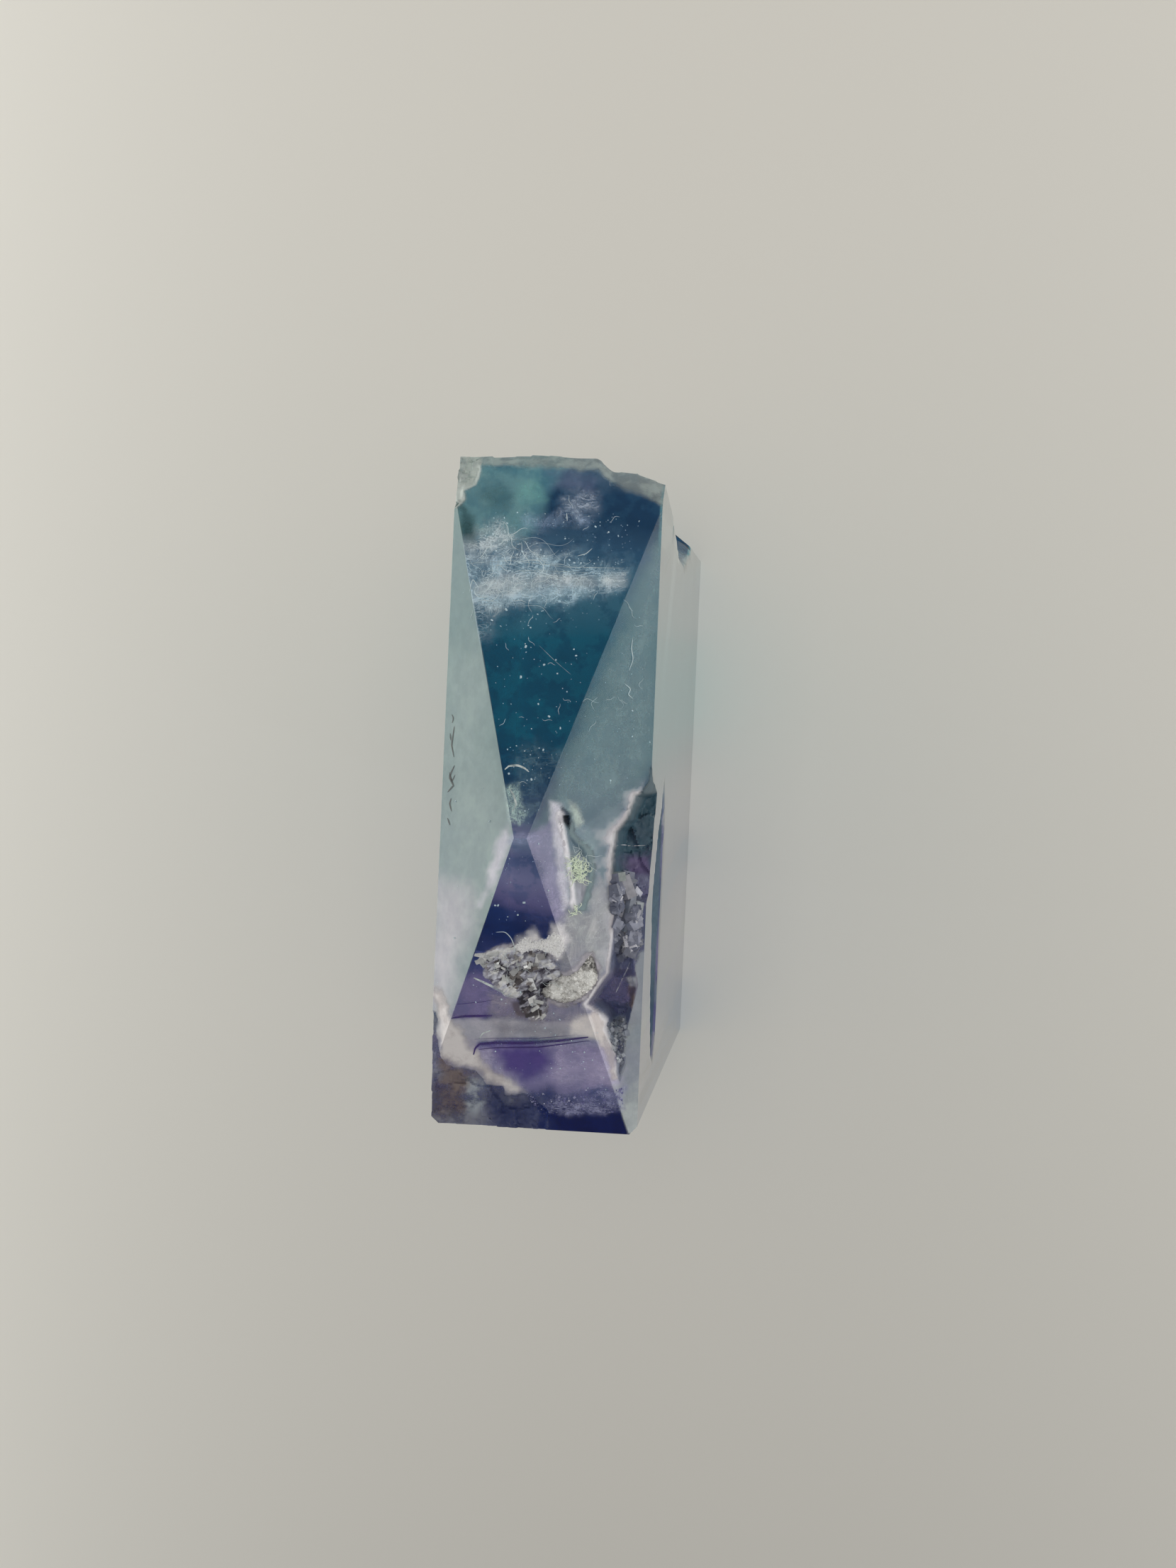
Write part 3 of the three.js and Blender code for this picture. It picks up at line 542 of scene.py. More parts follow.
FROSTED_ZONES = [
    ("waxy_rim", None, 0.45, 1, (0.86, 0.82, 0.82), 0.06,
     [(-9.5, -17.4), (-8.5, -18.7), *FRONT_CORNER["mouth"][2:14], (-1.2, -25.2), (-2.8, -24.4),
      (-4.4, -22.9), (-5.4, -21.9), (-6.2, -20.4), (-7.2, -19.2), (-8.1, -17.4)]),
    ("right_lip", None, 0.22, 0.8, (0.84, 0.78, 0.77), 0.3,
     [(5.1, -18.2), (6.1, -18.5), (6.3, -20.2), (6.9, -22.1), (7.2, -24.2), (6.8, -24.2), (6.1, -21.6),
      (5.4, -20.2)]),
    ("corner_floor", None, 0.5, 0.72, (0.38, 0.39, 0.44), 0.35,
     [(-10, -18.8), (-8, -20), (-7.8, -23.2), (-4.6, -24), (-2.4, -25.9), (0.6, -26.4), (0.2, -30),
      (-10, -30)]),
    ("corner_rust", None, 0.8, 0.75, (0.25, 0.18, 0.15), 0.5,
     [(-8.4, -23.2), (-5.6, -23.8), (-5.2, -26), (-6.2, -28.4), (-8.4, -28)]),
    ("corner_chalk", None, 0.5, 0.85, (0.52, 0.58, 0.64), 0.8,
     [(-5.4, -25), (-4.4, -25.6), (-4.4, -27.4), (-5.6, -28), (-6.2, -26.6)]),
    ("corner_pale_vein", None, 0.3, 0.7, (0.46, 0.5, 0.54), 0.6,
     [(-3.4, -26.6), (-1.8, -26.3), (-1.8, -26.8), (-3.2, -27.3)]),
    ("corner_blue", None, 1.3, 0.9, (0.045, 0.065, 0.2), 0.15,
     [(-3.6, -26.4), (1.2, -26), (1.2, -30), (-4.6, -30)]),
    ("back_chip", None, 0.12, 0.92, (0.68, 0.74, 0.7), 0.15,
     BACK_CHIP["mouth"]),
    ("rim_frost", None, 0.3, 0.7, (0.52, 0.6, 0.57), 0.25,
     [(-9, 27.4), (-6.5, 27.7), (3.2, 27.6), (4.4, 26.6), (9, 24.6), (9, 30), (-9, 30)]),
    ("pit_walls", None, 0.35, 1.6, (0.52, 0.5, 0.56), 0.2,
     DRUZY_PIT["mouth"]),
    ("slot_floor", None, 0.1, 1.6, (0.26, 0.37, 0.41), 0.25,
     SLOT["mouth"]),
    # Painted shade: the slot's small hole is covered near black.
    ("slot_hole", None, 0.12, 0.9, (0.03, 0.06, 0.1), 0.1,
     [(2.1, -1), (2.7, -1.5), (3.1, -2.9), (2.7, -3.2), (2.2, -2.4)]),
    ("slot_chip", None, 0.1, 0.9, (0.72, 0.78, 0.9), 0.2,
     [(2.3, -3), (3, -3.2), (3, -3.7), (2.5, -3.6)]),
    ("cavity_teal", "side_cavity", 0.2, 1.5, (0.04, 0.095, 0.135), 0.1,
     [(5.3, -2), (8.4, 2.6), (9.4, 3), (9.4, -7), (7, -7), (5.8, -7.6)]),
    ("cavity_purple", "side_cavity", 0.5, 0.9, (0.16, 0.12, 0.26), 0.1,
     [(6.8, -5.4), (9, -5), (9, -8), (8, -8.6), (7, -6.8)]),
    ("cavity_lavender", "side_cavity", 0.4, 0.85, (0.2, 0.22, 0.32), 0.35,
     [(5.6, -7.4), (9, -6.8), (9, -15), (5.4, -15.4)]),
    ("cavity_violet", "side_cavity", 0.3, 0.78, (0.2, 0.19, 0.27), 0.35,
     [(4.6, -15.2), (9, -14.8), (9, -18.6), (4, -18.4)]),
    ("cavity_blue", "side_cavity", 0.2, 0.85, (0.1, 0.13, 0.22), 0.2,
     [(5, -17.6), (9, -17.9), (9, -19.4), (5, -19.4)]),
    ("cavity_rust", "side_cavity", 0.2, 0.85, (0.17, 0.12, 0.1), 0.1,
     [(7.5, -16.4), (8.3, -16.1), (8.3, -18.3), (7.8, -18)]),
    ("cavity_knob", "side_cavity", 0.15, 0.9, (0.66, 0.68, 0.7), 0.1,
     [(7.5, -15.6), (8.3, -15.5), (8.3, -16.3), (7.8, -16.4)]),
    ("cavity_grey", "side_cavity", 0.3, 0.85, (0.32, 0.35, 0.42), 0.5,
     [(5, -19.4), (9, -19.4), (9, -25), (6, -25)]),
]

# Pale edges of broken mouths: the widths down the mouth, and the line that parts its two sides.
CAVITY_LIP = {
    "width": [(2, 0.04), (0.2, 0.26), (-1.5, 0.14), (-3, 0.62), (-4.6, 0.42), (-6.6, 0.46), (-9, 0.26),
        (-12.7, 0.24), (-15, 0.08), (-17.2, 0.3), (-18.2, 0.1), (-20, 0.24), (-24, 0.15)],
    "middle": [(2, 8.7), (-3, 7.2), (-8, 7.2), (-15, 6.9), (-18, 6.2), (-21, 7), (-24, 7.3)],
    "cover": 0.8, "colour": (0.92, 0.9, 0.94),
}
SLOT_LIP = {
    "width": [(-0.8, 0.08), (-1.4, 0.2), (-2.6, 0.26), (-3.8, 0.24), (-5, 0.14), (-7, 0.08), (-9.4, 0.03)],
    "middle": [(-1.6, 2.45), (-4, 2.9), (-7, 3.4), (-9.3, 3.7)],
    "cover": 0.9, "colour": (0.94, 0.93, 1),
}


def over(state, share, colour, wisp):
    """Lays one more colour over what is there, as paint of that share of cover would: each colour
    counts by how much of it is left showing."""
    cover = state["cover"] * (1 - share) + share
    part = share / np.maximum(cover, 1e-6)
    state["colour"] = state["colour"] * (1 - part[..., None]) + np.array(colour) * part[..., None]
    state["wisp"] = state["wisp"] * (1 - part) + wisp * part
    state["cover"] = cover


def zone_cover(zones, x, y):
    """Cover, colour and wispiness over (x, y): each zone in turn laid over the last, fading from
    softness inside its wavering outline to softness outside it, and kept to one face of the point
    or to the side cavity where the zone names it."""
    state = {"cover": np.zeros(x.shape), "colour": np.full((*x.shape, 3), 0.5), "wisp": np.zeros(x.shape)}
    for count, (_name, place, soft, cover, colour, wisp, outline) in enumerate(zones):
        ragged = swells(x, y, 0.8, 30 + count) + swells(x, y, 0.33, 90 + count)
        waver = 0.5 * soft * swells(x, y, 0.5 + soft, 60 + count) + 0.3 * min(soft, 0.6) * ragged
        inside = inside_distance(outline, x, y) + waver
        share = np.minimum(cover * smoothstep(inside, -soft, soft), 1)
        if place == "side_cavity":
            share = share * smoothstep(inside_distance(SIDE_CAVITY["mouth"], x, y), -0.08, 0.04)
        elif place:
            share = share * (face_height(place, x, y) < point_height(x, y) + 0.01)
        over(state, share, colour, wisp)
    return state


def add_lip(state, hollow, lip, x, y, spread=1.0, share=1.0):
    """A pale broken edge on one side of a hollow's mouth: full at the mouth, gone at its width,
    which spread makes wider; share thins it all over."""
    ragged = 0.75 + 0.7 * swells(x, y, 0.9, hollow["seed"] + 8) + 0.35 * swells(x, y, 0.3, hollow["seed"] + 9)
    width = spread * profile(lip["width"], y) * np.clip(ragged, 0.15, 2)
    inside = inside_distance(hollow["mouth"], x, y)
    edge = smoothstep(inside, -1.5 * width, -0.1 * width) * smoothstep(inside, 0.25, 0.05)
    one_side = smoothstep(profile(lip["middle"], y) - x, 0, 0.3)
    over(state, share * lip["cover"] * edge * one_side, lip["colour"], 0.05)


def cut_out(x, y, z, numbers, level, own, pick=np.max):
    """The part of a grid whose faces have their largest corner number, or another pick of them,
    above a level."""
    faces = grid_faces(*x.shape)
    kept = faces[pick(numbers.ravel()[faces], axis=1) > level]
    used, renumbered = np.unique(kept, return_inverse=True)
    own = {key: values.reshape(-1, *values.shape[2:])[used] for key, values in own.items()}
    return np.stack([x, y, z], -1).reshape(-1, 3)[used], renumbered.reshape(kept.shape), own


def skin_shape(state, x, y, z):
    """The part of the top's own grid that a cover reaches."""
    own = {"cover": state["cover"], "wisp": state["wisp"], "tone": state["colour"]}
    return cut_out(x, y, z, state["cover"], LEAST_COVER, own)


# ---- finishes ----
class Value:
    """What a shader node gives out; + - * and step add the node for that sum."""

    def __init__(self, node, output=0):
        self.socket = node.outputs[output]
        self.tree = node.id_data

    def step(self, operation, other=0.0, clamp=False):
        """One arithmetic step with a number or another value."""
        return result(self.tree, "Math", {0: self, 1: other}, operation=operation, use_clamp=clamp)

    def __add__(self, other):
        return self.step("ADD", other)

    def __sub__(self, other):
        return self.step("SUBTRACT", other)

    def __mul__(self, other):
        return self.step("MULTIPLY", other)

    def between(self, low, high, to_low=0.0, to_high=1.0, curve="SMOOTHSTEP"):
        """This value carried from one range to another, by an S-curve or a straight line."""
        ends = {"From Min": low, "From Max": high, "To Min": to_low, "To Max": to_high}
        return result(self.tree, "MapRange", {"Value": self, **ends}, interpolation_type=curve)


def feed(node, inputs):
    """Sets each input of a node to a plain value, or joins it to what another node gives out."""
    for key, part in inputs.items():
        if isinstance(part, Value):
            node.id_data.links.new(part.socket, node.inputs[key])
        else:
            node.inputs[key].default_value = part


def add_node(tree, kind, inputs=None, **settings):
    """One shader node with its settings and inputs."""
    node = tree.nodes.new("ShaderNode" + kind)
    for key, setting in settings.items():
        setattr(node, key, setting)
    feed(node, inputs or {})
    return node


def result(tree, kind, inputs=None, output=0, **settings):
    """What one new shader node gives out."""
    return Value(add_node(tree, kind, inputs, **settings), output)


def parts_of(vector):
    """The X, Y and Z of a vector."""
    node = add_node(vector.tree, "SeparateXYZ", {0: vector})
    return [Value(node, axis) for axis in range(3)]


def mixed_colour(share, first, second, blend="MIX"):
    """Two colours mixed by a share."""
    tree = next(part.tree for part in (share, first, second) if isinstance(part, Value))
    first, second = ((*part, 1) if isinstance(part, tuple) else part for part in (first, second))
    return result(tree, "Mix", {0: share, 6: first, 7: second}, 2, data_type="RGBA", blend_type=blend)


def own_number(tree, name):
    """A piece's own number of that name."""
    return result(tree, "Attribute", output="Fac", attribute_name=name)


def shaded_tone(tree, shade):
    """A piece's own tone, darkened by a shade."""
    tone = result(tree, "Attribute", output="Color", attribute_name="tone")
    return mixed_colour(1.0, tone, shade, "MULTIPLY")


def build_stone_noise():
    """The noises that the stone's finishes share, each from 0 to 1: soft cloud, torn puffs, thin
    bent threads that run mostly along X or along Y, and small flecks."""
    group = bpy.data.node_groups.new("stone_noise", "ShaderNodeTree")
    group.interface.new_socket("Size", in_out="INPUT", socket_type="NodeSocketFloat")
    for name in ("Cloud", "Puffs", "Across", "Along", "Fleck"):
        group.interface.new_socket(name, in_out="OUTPUT", socket_type="NodeSocketFloat")
    size = Value(group.nodes.new("NodeGroupInput"))
    place = result(group, "TexCoord", output="Object")
    scaled = result(group, "VectorMath", {0: place, "Scale": size}, operation="SCALE")

    def noise(vector, scale, detail, roughness, distortion=0.0):
        """Layered noise of that grain."""
        return result(group, "TexNoise", {
            "Vector": vector, "Scale": scale, "Detail": detail, "Roughness": roughness,
            "Distortion": distortion})

    def threads(stretch, scale):
        """Thin lines where a stretched noise passes its middle value, broken up by another."""
        stretched = result(group, "Mapping", {"Vector": scaled, "Scale": stretch})
        away = (noise(stretched, scale, 5, 0.62, 1.2) - 0.5).step("ABSOLUTE")
        whole = noise(stretched, scale * 0.6, 3, 0.5).between(0.44, 0.58)
        return away.between(0.028, 0.004) * whole

    cells = add_node(group, "TexVoronoi", {"Vector": scaled, "Scale": 2400})
    lucky = result(group, "SeparateColor", {0: Value(cells, "Color")})
    feed(group.nodes.new("NodeGroupOutput"), {
        "Cloud": noise(scaled, 480, 7, 0.6).between(0.3, 0.7),
        "Puffs": noise(scaled, 340, 10, 0.72, 0.6).between(0.47, 0.72),
        "Across": threads((0.4, 1.4, 1), 420).step("MAXIMUM", threads((0.7, 1.0, 1), 900)),
        "Along": threads((1.6, 0.2, 1), 420).step("MAXIMUM", threads((1.2, 0.4, 1), 900)),
        "Fleck": Value(cells, "Distance").between(0.36, 0.12) * lucky.between(0.70, 0.92),
    })
    return group


STONE_NOISE = build_stone_noise()


def stone_noise(tree, size=1.0):
    """The shared noises in a material, by name; a larger size number means finer noise."""
    node = tree.nodes.new("ShaderNodeGroup")
    node.node_tree = STONE_NOISE
    node.inputs["Size"].default_value = size
    return {output.name: Value(node, output.name) for output in node.outputs}


def new_finish(name):
    """A material with a Principled shader, and its tree for more nodes."""
    material = bpy.data.materials.new(name)
    material.use_nodes = True
    return material, material.node_tree, material.node_tree.nodes["Principled BSDF"]


WHITE = (1, 1, 1)
FLUORITE_IOR = 1.434
# Colour bands of the clear stone, front to back: place along Y and tint.
BANDS = [
    (-29.1, (0.001, 0.01, 0.18)), (-26.8, (0.003, 0.015, 0.2)), (-25.5, (0.26, 0.22, 0.58)),
    (-24.3, (0.54, 0.41, 0.82)), (-22.3, (0.44, 0.29, 0.78)), (-21.3, (0.2, 0.11, 0.56)),
    (-20.8, (0.71, 0.67, 0.8)), (-19.5, (0.71, 0.67, 0.8)), (-19.1, (0.28, 0.19, 0.52)),
    (-18.3, (0.52, 0.35, 0.75)), (-16.3, (0.42, 0.3, 0.68)), (-14, (0.13, 0.14, 0.48)),
    (-12, (0.003, 0.03, 0.22)), (-9.5, (0.01, 0.045, 0.27)), (-8.3, (0.36, 0.26, 0.62)),
    (-6.5, (0.64, 0.52, 0.9)), (-5, (0.38, 0.33, 0.68)), (-3.8, (0.84, 0.72, 1)),
    (-2.6, (0.42, 0.42, 0.72)), (-1.4, (0.16, 0.24, 0.46)), (0.2, (0.05, 0.18, 0.35)),
    (2.5, (0.01, 0.22, 0.38)), (4, (0.002, 0.25, 0.39)), (9, (0.002, 0.25, 0.39)), (13, (0.01, 0.31, 0.46)),
    (15.6, (0.16, 0.44, 0.58)), (18, (0.22, 0.46, 0.62)), (20.4, (0.17, 0.35, 0.55)),
    (22.8, (0.02, 0.12, 0.26)), (25.4, (0.03, 0.14, 0.3)), (27.6, (0.3, 0.46, 0.62)),
    (29.1, (0.5, 0.64, 0.72)),
]
GREEN_STONE = (0.36, 0.80, 0.82)
MURK_TINT = (0.42, 0.62, 0.74)
# Painted shade: the dark colour laid over the scoop in the right wall.
SCOOP_PAINTED_SHADE = (0.015, 0.09, 0.16)
# Painted reflection: a warm tint on the walls for the warm table seen in them.
WALL_PAINTED_TABLE_TINT = (1.0, 0.94, 0.86)
TOP_DEPTH, WALL_DEPTH = 1.5, 0.38
SOAK_COLOUR, SOAK_DENSITY = (0.333, 0.433, 0.567, 1), 15
SHADOW_TINT = (0.8, 0.88, 0.92, 1)
# Where the effects fade in, in metres: the green stone's slanting left edge, its front end and its
# skin on the right wall, and the scoop's painted shade: its skin, top and back end. The last two are shares
# of the normal.
GREEN_SLANT, GREEN_LEFT, GREEN_FRONT = -0.42, (-0.0108, -0.0122), (0.0195, 0.0225)
RIGHT_SKIN = (0.0086, 0.0088)
SCOOP_SKIN, SCOOP_TOP, SCOOP_BACK = (0.00885, 0.0086), (0.072, 0.069), (0.016, 0.013)
SCOOP_FACING = (0.05, 0.2)
FACING_UP = (0.05, 0.3)


def band_colour(tree, x, warped, rags):
    """The stone's colour bands along a warped Y in metres, with the green stone of the left back
    corner and of the right wall's far end laid over them."""
    half = HALF_LENGTH * MM
    ramp = add_node(tree, "ValToRGB", {0: warped.between(-half, half, curve="LINEAR")})
    stops = ramp.color_ramp.elements
    stops[0].color, stops[1].color = ((*BANDS[end][1], 1) for end in (0, -1))
    for y, colour in BANDS[1:-1]:
        stops.new((y + HALF_LENGTH) / (2 * HALF_LENGTH)).color = (*colour, 1)
    left_side = (x + warped * GREEN_SLANT + rags).between(*GREEN_LEFT)
    green_side = left_side.step("MAXIMUM", x.between(*RIGHT_SKIN))
    return mixed_colour(green_side * warped.between(*GREEN_FRONT), Value(ramp), GREEN_STONE)


def fluorite_finish():
    """Clear banded fluorite: transmission, a plain absorption inside, and colour bands that follow
    a warped Y and tint light on its way in. Bands are deep where one looks down the whole tower and
    pale through its walls, the walls get a painted warm tint for the table seen in them, and the scoop in the
    right wall is painted dark as shade."""
    material, tree, shader = new_finish("banded_fluorite")
    cloud = stone_noise(tree)["Cloud"]
    place = result(tree, "TexCoord", output="Object")
    x, y, z = parts_of(place)
    broad = result(tree, "TexNoise", {"Vector": place, "Scale": 150, "Detail": 4}) - 0.5
    warped = y + (z - 0.078) * 0.05 + broad * 0.0022
    bands = band_colour(tree, x, warped, broad * 0.004)

    surface = add_node(tree, "NewGeometry")
    sideways, _unused, upward = parts_of(Value(surface, "Normal"))
    murk = mixed_colour(cloud.between(0.25, 0.7), MURK_TINT, WHITE)
    bands = mixed_colour(sideways.step("ABSOLUTE").between(0.5, 0.3, 0.1, 0.85), bands, murk, "MULTIPLY")
    depth = upward.between(*FACING_UP, WALL_DEPTH, TOP_DEPTH)
    bands = result(tree, "Gamma", {"Color": bands, "Gamma": depth})
    # Painted reflection: walls are tinted warm for the table they show.
    painted_table_tint = mixed_colour(upward.between(*FACING_UP), WALL_PAINTED_TABLE_TINT, WHITE)
    bands = mixed_colour(1.0, bands, painted_table_tint, "MULTIPLY")
    # Painted shade: the scoop's faces in the right wall are mixed to a fixed dark colour.
    let_in = x.between(*SCOOP_SKIN) * sideways.between(*SCOOP_FACING)
    scoop_shade_share = let_in * z.between(*SCOOP_TOP) * warped.between(*SCOOP_BACK)
    bands = mixed_colour(scoop_shade_share, bands, SCOOP_PAINTED_SHADE)
    bands = mixed_colour(Value(surface, "Backfacing"), bands, WHITE)

    broken = own_number(tree, "broken")
    relief = {"Height": broken * cloud, "Strength": 0.5, "Distance": 0.0003}
    feed(shader, {
        "Base Color": bands, "Roughness": broken * cloud.between(0, 1, 0.12, 0.4) + 0.015,
        "Normal": result(tree, "Bump", relief), "Transmission Weight": 1, "IOR": FLUORITE_IOR})
    shadow_ray = result(tree, "LightPath", output="Is Shadow Ray")
    clear = result(tree, "BsdfTransparent", {"Color": SHADOW_TINT})
    feed(tree.nodes["Material Output"], {
        "Surface": result(tree, "MixShader", {0: shadow_ray, 1: Value(shader), 2: clear}),
        "Volume": result(tree, "VolumeAbsorption", {"Color": SOAK_COLOUR, "Density": SOAK_DENSITY})})
    return material


def feed_skin(tree, shader, even, torn, shade):
    """A skin's cover, torn as far as it is wispy, and its own tone, darkened by a shade."""
    texture = result(tree, "Mix", {0: own_number(tree, "wisp"), 2: even, 3: torn})
    cover = own_number(tree, "cover").step("MULTIPLY", texture, clamp=True)
    feed(shader, {"Alpha": cover, "Base Color": shaded_tone(tree, shade)})


def milky_finish():
    """White or lavender growth under the polish: its cover torn into puffs, threads and flecks."""
    material, tree, shader = new_finish("milky_growth")
    noise, fine = stone_noise(tree), stone_noise(tree, 2.1)
    puffs = noise["Puffs"] * fine["Puffs"].between(0, 0.6, 0.7, 1.5)
    threads = fine["Across"].step("MAXIMUM", noise["Along"] * 0.5)
    torn = noise["Cloud"] * 0.30 + 0.05 + puffs + (threads * 0.85 + noise["Fleck"] * 0.5)
    even = noise["Cloud"].between(0, 1, 0.88, 1.0)
    feed_skin(tree, shader, even, torn, mixed_colour(fine["Cloud"], (0.88, 0.89, 0.92), WHITE))
    feed(shader, {"Roughness": 0.14, "IOR": FLUORITE_IOR})
    return material


def frosted_finish():
    """Waxy and stained broken skins: matt, mottled, with a grain of their own."""
    material, tree, shader = new_finish("frosted_break")
    coarse, fine = stone_noise(tree, 0.6)["Cloud"], stone_noise(tree, 1.9)["Cloud"]
    patches = (coarse * 0.6 + fine * 0.4).between(0.25, 0.75)
    feed_skin(tree, shader, 1.0, patches, mixed_colour(patches, (0.76, 0.74, 0.74), WHITE))
    grain = result(tree, "Bump", {"Height": fine, "Strength": 0.35, "Distance": 0.00012})
    feed(shader, {"Normal": grain, "Roughness": 0.42, "Specular IOR Level": 0.25})
    return material


def plain_finish(name, colour, roughness, mottling, size=3.0, covers=None):
    """A small piece's finish: one colour, darkened here and there by cloud, and with a least and
    a greatest cover if it lets the stone show through."""
    material, tree, shader = new_finish(name)
    cloud = stone_noise(tree, size)["Cloud"]
    dark = tuple(channel * (1 - mottling) for channel in colour)
    feed(shader, {"Base Color": mixed_colour(cloud, dark, colour), "Roughness": roughness})
    if covers:
        feed(shader, {"Alpha": cloud.between(0, 1, *covers)})
    return material


def toned_finish(name, roughness, metallic=0.0, mottling=0.3, fades=False):
    """Little crystals, each with its own tone, darkened here and there by cloud; one that fades
    thins out by its own cover."""
    material, tree, shader = new_finish(name)
    noise = stone_noise(tree, 4.0)
    shade = mixed_colour(noise["Cloud"], (1 - mottling,) * 3, WHITE)
    feed(shader, {
        "Base Color": shaded_tone(tree, shade), "Metallic": metallic,
        "Roughness": noise["Puffs"].between(0, 1, roughness, roughness + 0.2)})
    if fades:
        feed(shader, {"Alpha": own_number(tree, "cover")})
    return material


# ---- shapes of small pieces ----
# How far the skins and the lines lie above the stone.
MILKY_LIFT, FROSTED_LIFT, LINE_LIFT = 0.03, 0.05, 0.06


def tones(values, stops):
    """Colours for values from 0 to 1 by straight lines between (value, colour) stops."""
    places, colours = zip(*stops)
    return np.stack([np.interp(values, places, channel) for channel in zip(*colours)], -1)


def blocks(centres, sizes, turns, colours=None):
    """Turned boxes: eight corners at half the sizes, turned about X, Y and Z, moved to centres,
    each box with its own colour."""
    corners = np.array([(i, j, k) for k in (-0.5, 0.5) for j in (-0.5, 0.5) for i in (-0.5, 0.5)])
    points = corners[None] * sizes[:, None, :]
    for axis in range(3):
        a, b = (axis + 1) % 3, (axis + 2) % 3
        cos, sin = np.cos(turns[:, axis])[:, None], np.sin(turns[:, axis])[:, None]
        first, second = points[..., a].copy(), points[..., b].copy()
        points[..., a], points[..., b] = first * cos - second * sin, first * sin + second * cos
    points += centres[:, None, :]
    sides = np.array([(0, 2, 3, 1), (4, 5, 7, 6), (0, 1, 5, 4), (2, 6, 7, 3), (0, 4, 6, 2), (1, 3, 7, 5)])
    faces = (sides[None] + 8 * np.arange(len(centres))[:, None, None]).reshape(-1, 4)
    own = {} if colours is None else {"tone": np.repeat(colours, 8, axis=0)}
    return points.reshape(-1, 3), faces, own


def unit(vectors):
    """Vectors shortened or stretched to length 1."""
    return vectors / (np.linalg.norm(vectors, axis=-1, keepdims=True) + 1e-9)


def tubes(paths, radius, sides=4):
    """Round hairs along paths (hair, point, XYZ): a ring of points about each path point, square to
    the way the path runs there, thinning at both ends; the ends draw to a point."""
    along = unit(np.gradient(paths, axis=1))
    across = unit(np.cross(along, (0.3, 0.2, 1.0)))
    lift = np.cross(across, along)
    count, length = paths.shape[:2]
    thin = np.sin(np.linspace(0.02, np.pi - 0.02, length)) ** 0.4
    turn = np.linspace(0, 2 * np.pi, sides, endpoint=False)[:, None]
    ring = np.cos(turn) * across[:, :, None, :] + np.sin(turn) * lift[:, :, None, :]
    points = paths[:, :, None, :] + radius * thin[None, :, None, None] * ring
    index = np.arange(count * length * sides).reshape(count, length, sides)
    after = np.roll(index, -1, axis=2)
    faces = np.stack([index[:, :-1], after[:, :-1], after[:, 1:], index[:, 1:]], -1)
    return points.reshape(-1, 3), faces.reshape(-1, 4), {}


def divided(path, count=None):
    """X and Y of points evenly along a path: a given count, or one every 0.18 mm and at least 4."""
    path = np.array(path, float)
    way = np.concatenate([[0], np.cumsum(np.hypot(*np.diff(path, axis=0).T))])
    even = np.linspace(0, way[-1], count or max(4, int(way[-1] / 0.18)))
    return np.stack([np.interp(even, way, places) for places in path.T])


def ribbon(path, width, over_hollows):
    """A flat band along a path on the point: each of its places is moved sideways by half the
    width, which tapers to the ends, and set a little above the faces or the hollows' floors."""
    x, y = divided(path)
    dx, dy = np.gradient(x), np.gradient(y)
    side = np.stack([-dy, dx]) / (np.hypot(dx, dy) + 1e-9)
    taper = np.sin(np.linspace(0.15, np.pi - 0.15, len(x))) ** 0.5
    across = np.array([-0.5, 0.5])[:, None] * width * taper
    x, y = x + side[0] * across, y + side[1] * across
    ground = top_height(x, y)[0] if over_hollows else point_height(x, y)
    points = np.stack([x, y, ground + LINE_LIFT], -1)
    return points.reshape(-1, 3), grid_faces(*x.shape)[:, ::-1], {}


def gathered(shapes):
    """Several shapes as one."""
    points, faces, own = zip(*shapes)
    firsts = np.cumsum([0] + [len(some) for some in points[:-1]])
    faces = np.concatenate([some + first for some, first in zip(faces, firsts)])
    return np.concatenate(points), faces, {key: np.concatenate([some[key] for some in own]) for key in own[0]}


def scattered(outline, count, seed):
    """About count random places inside an outline: even rolls over its box, kept where inside."""
    low, high = np.min(outline, axis=0), np.max(outline, axis=0)
    rolls = np.random.default_rng(seed).random((4 * count, 2))
    places = low + rolls * (high - low)
    return places[inside_distance(outline, places[:, 0], places[:, 1]) > 0][:count]


def hairs(outline, count, length, curl, lift, seed, heading=None, points=12):
    """Paths of thin hairs on the point: each starts at a random place and turns steadily, with a
    random curl and a random wave on it; the middle stands a little above the stone."""
    rng = np.random.default_rng(seed)
    start = scattered(outline, count, seed)
    count = len(start)
    reach = length * (0.4 + 0.9 * rng.random((count, 1)))
    first = rng.random((count, 1)) * 2 * np.pi
    if heading is not None:
        first = np.radians(heading) + (first - np.pi) * 0.16
    along = np.linspace(0, 1, points)
    turn = first + curl * (rng.random((count, 1)) - 0.5) * along + 0.5 * np.sin(7 * along + first * 3)
    step = reach / points
    x = start[:, :1] + np.cumsum(np.cos(turn) * step, axis=1)
    y = start[:, 1:] + np.cumsum(np.sin(turn) * step, axis=1)
    rise = lift * (0.3 + np.sin(np.pi * along) * rng.random((count, 1)))
    return np.stack([x, y, point_height(x, y) + rise], -1)


def smooth_paths(lines, lift):
    """Listed lines divided evenly and rounded by three passes of averaging with neighbours."""
    paths = []
    for line in lines:
        xy = divided(line, 24).T
        for _ in range(3):
            xy[1:-1] = (xy[:-2] + xy[1:-1] + xy[2:]) / 3
        paths.append(np.column_stack([xy, point_height(*xy.T) + lift]))
    return np.array(paths)


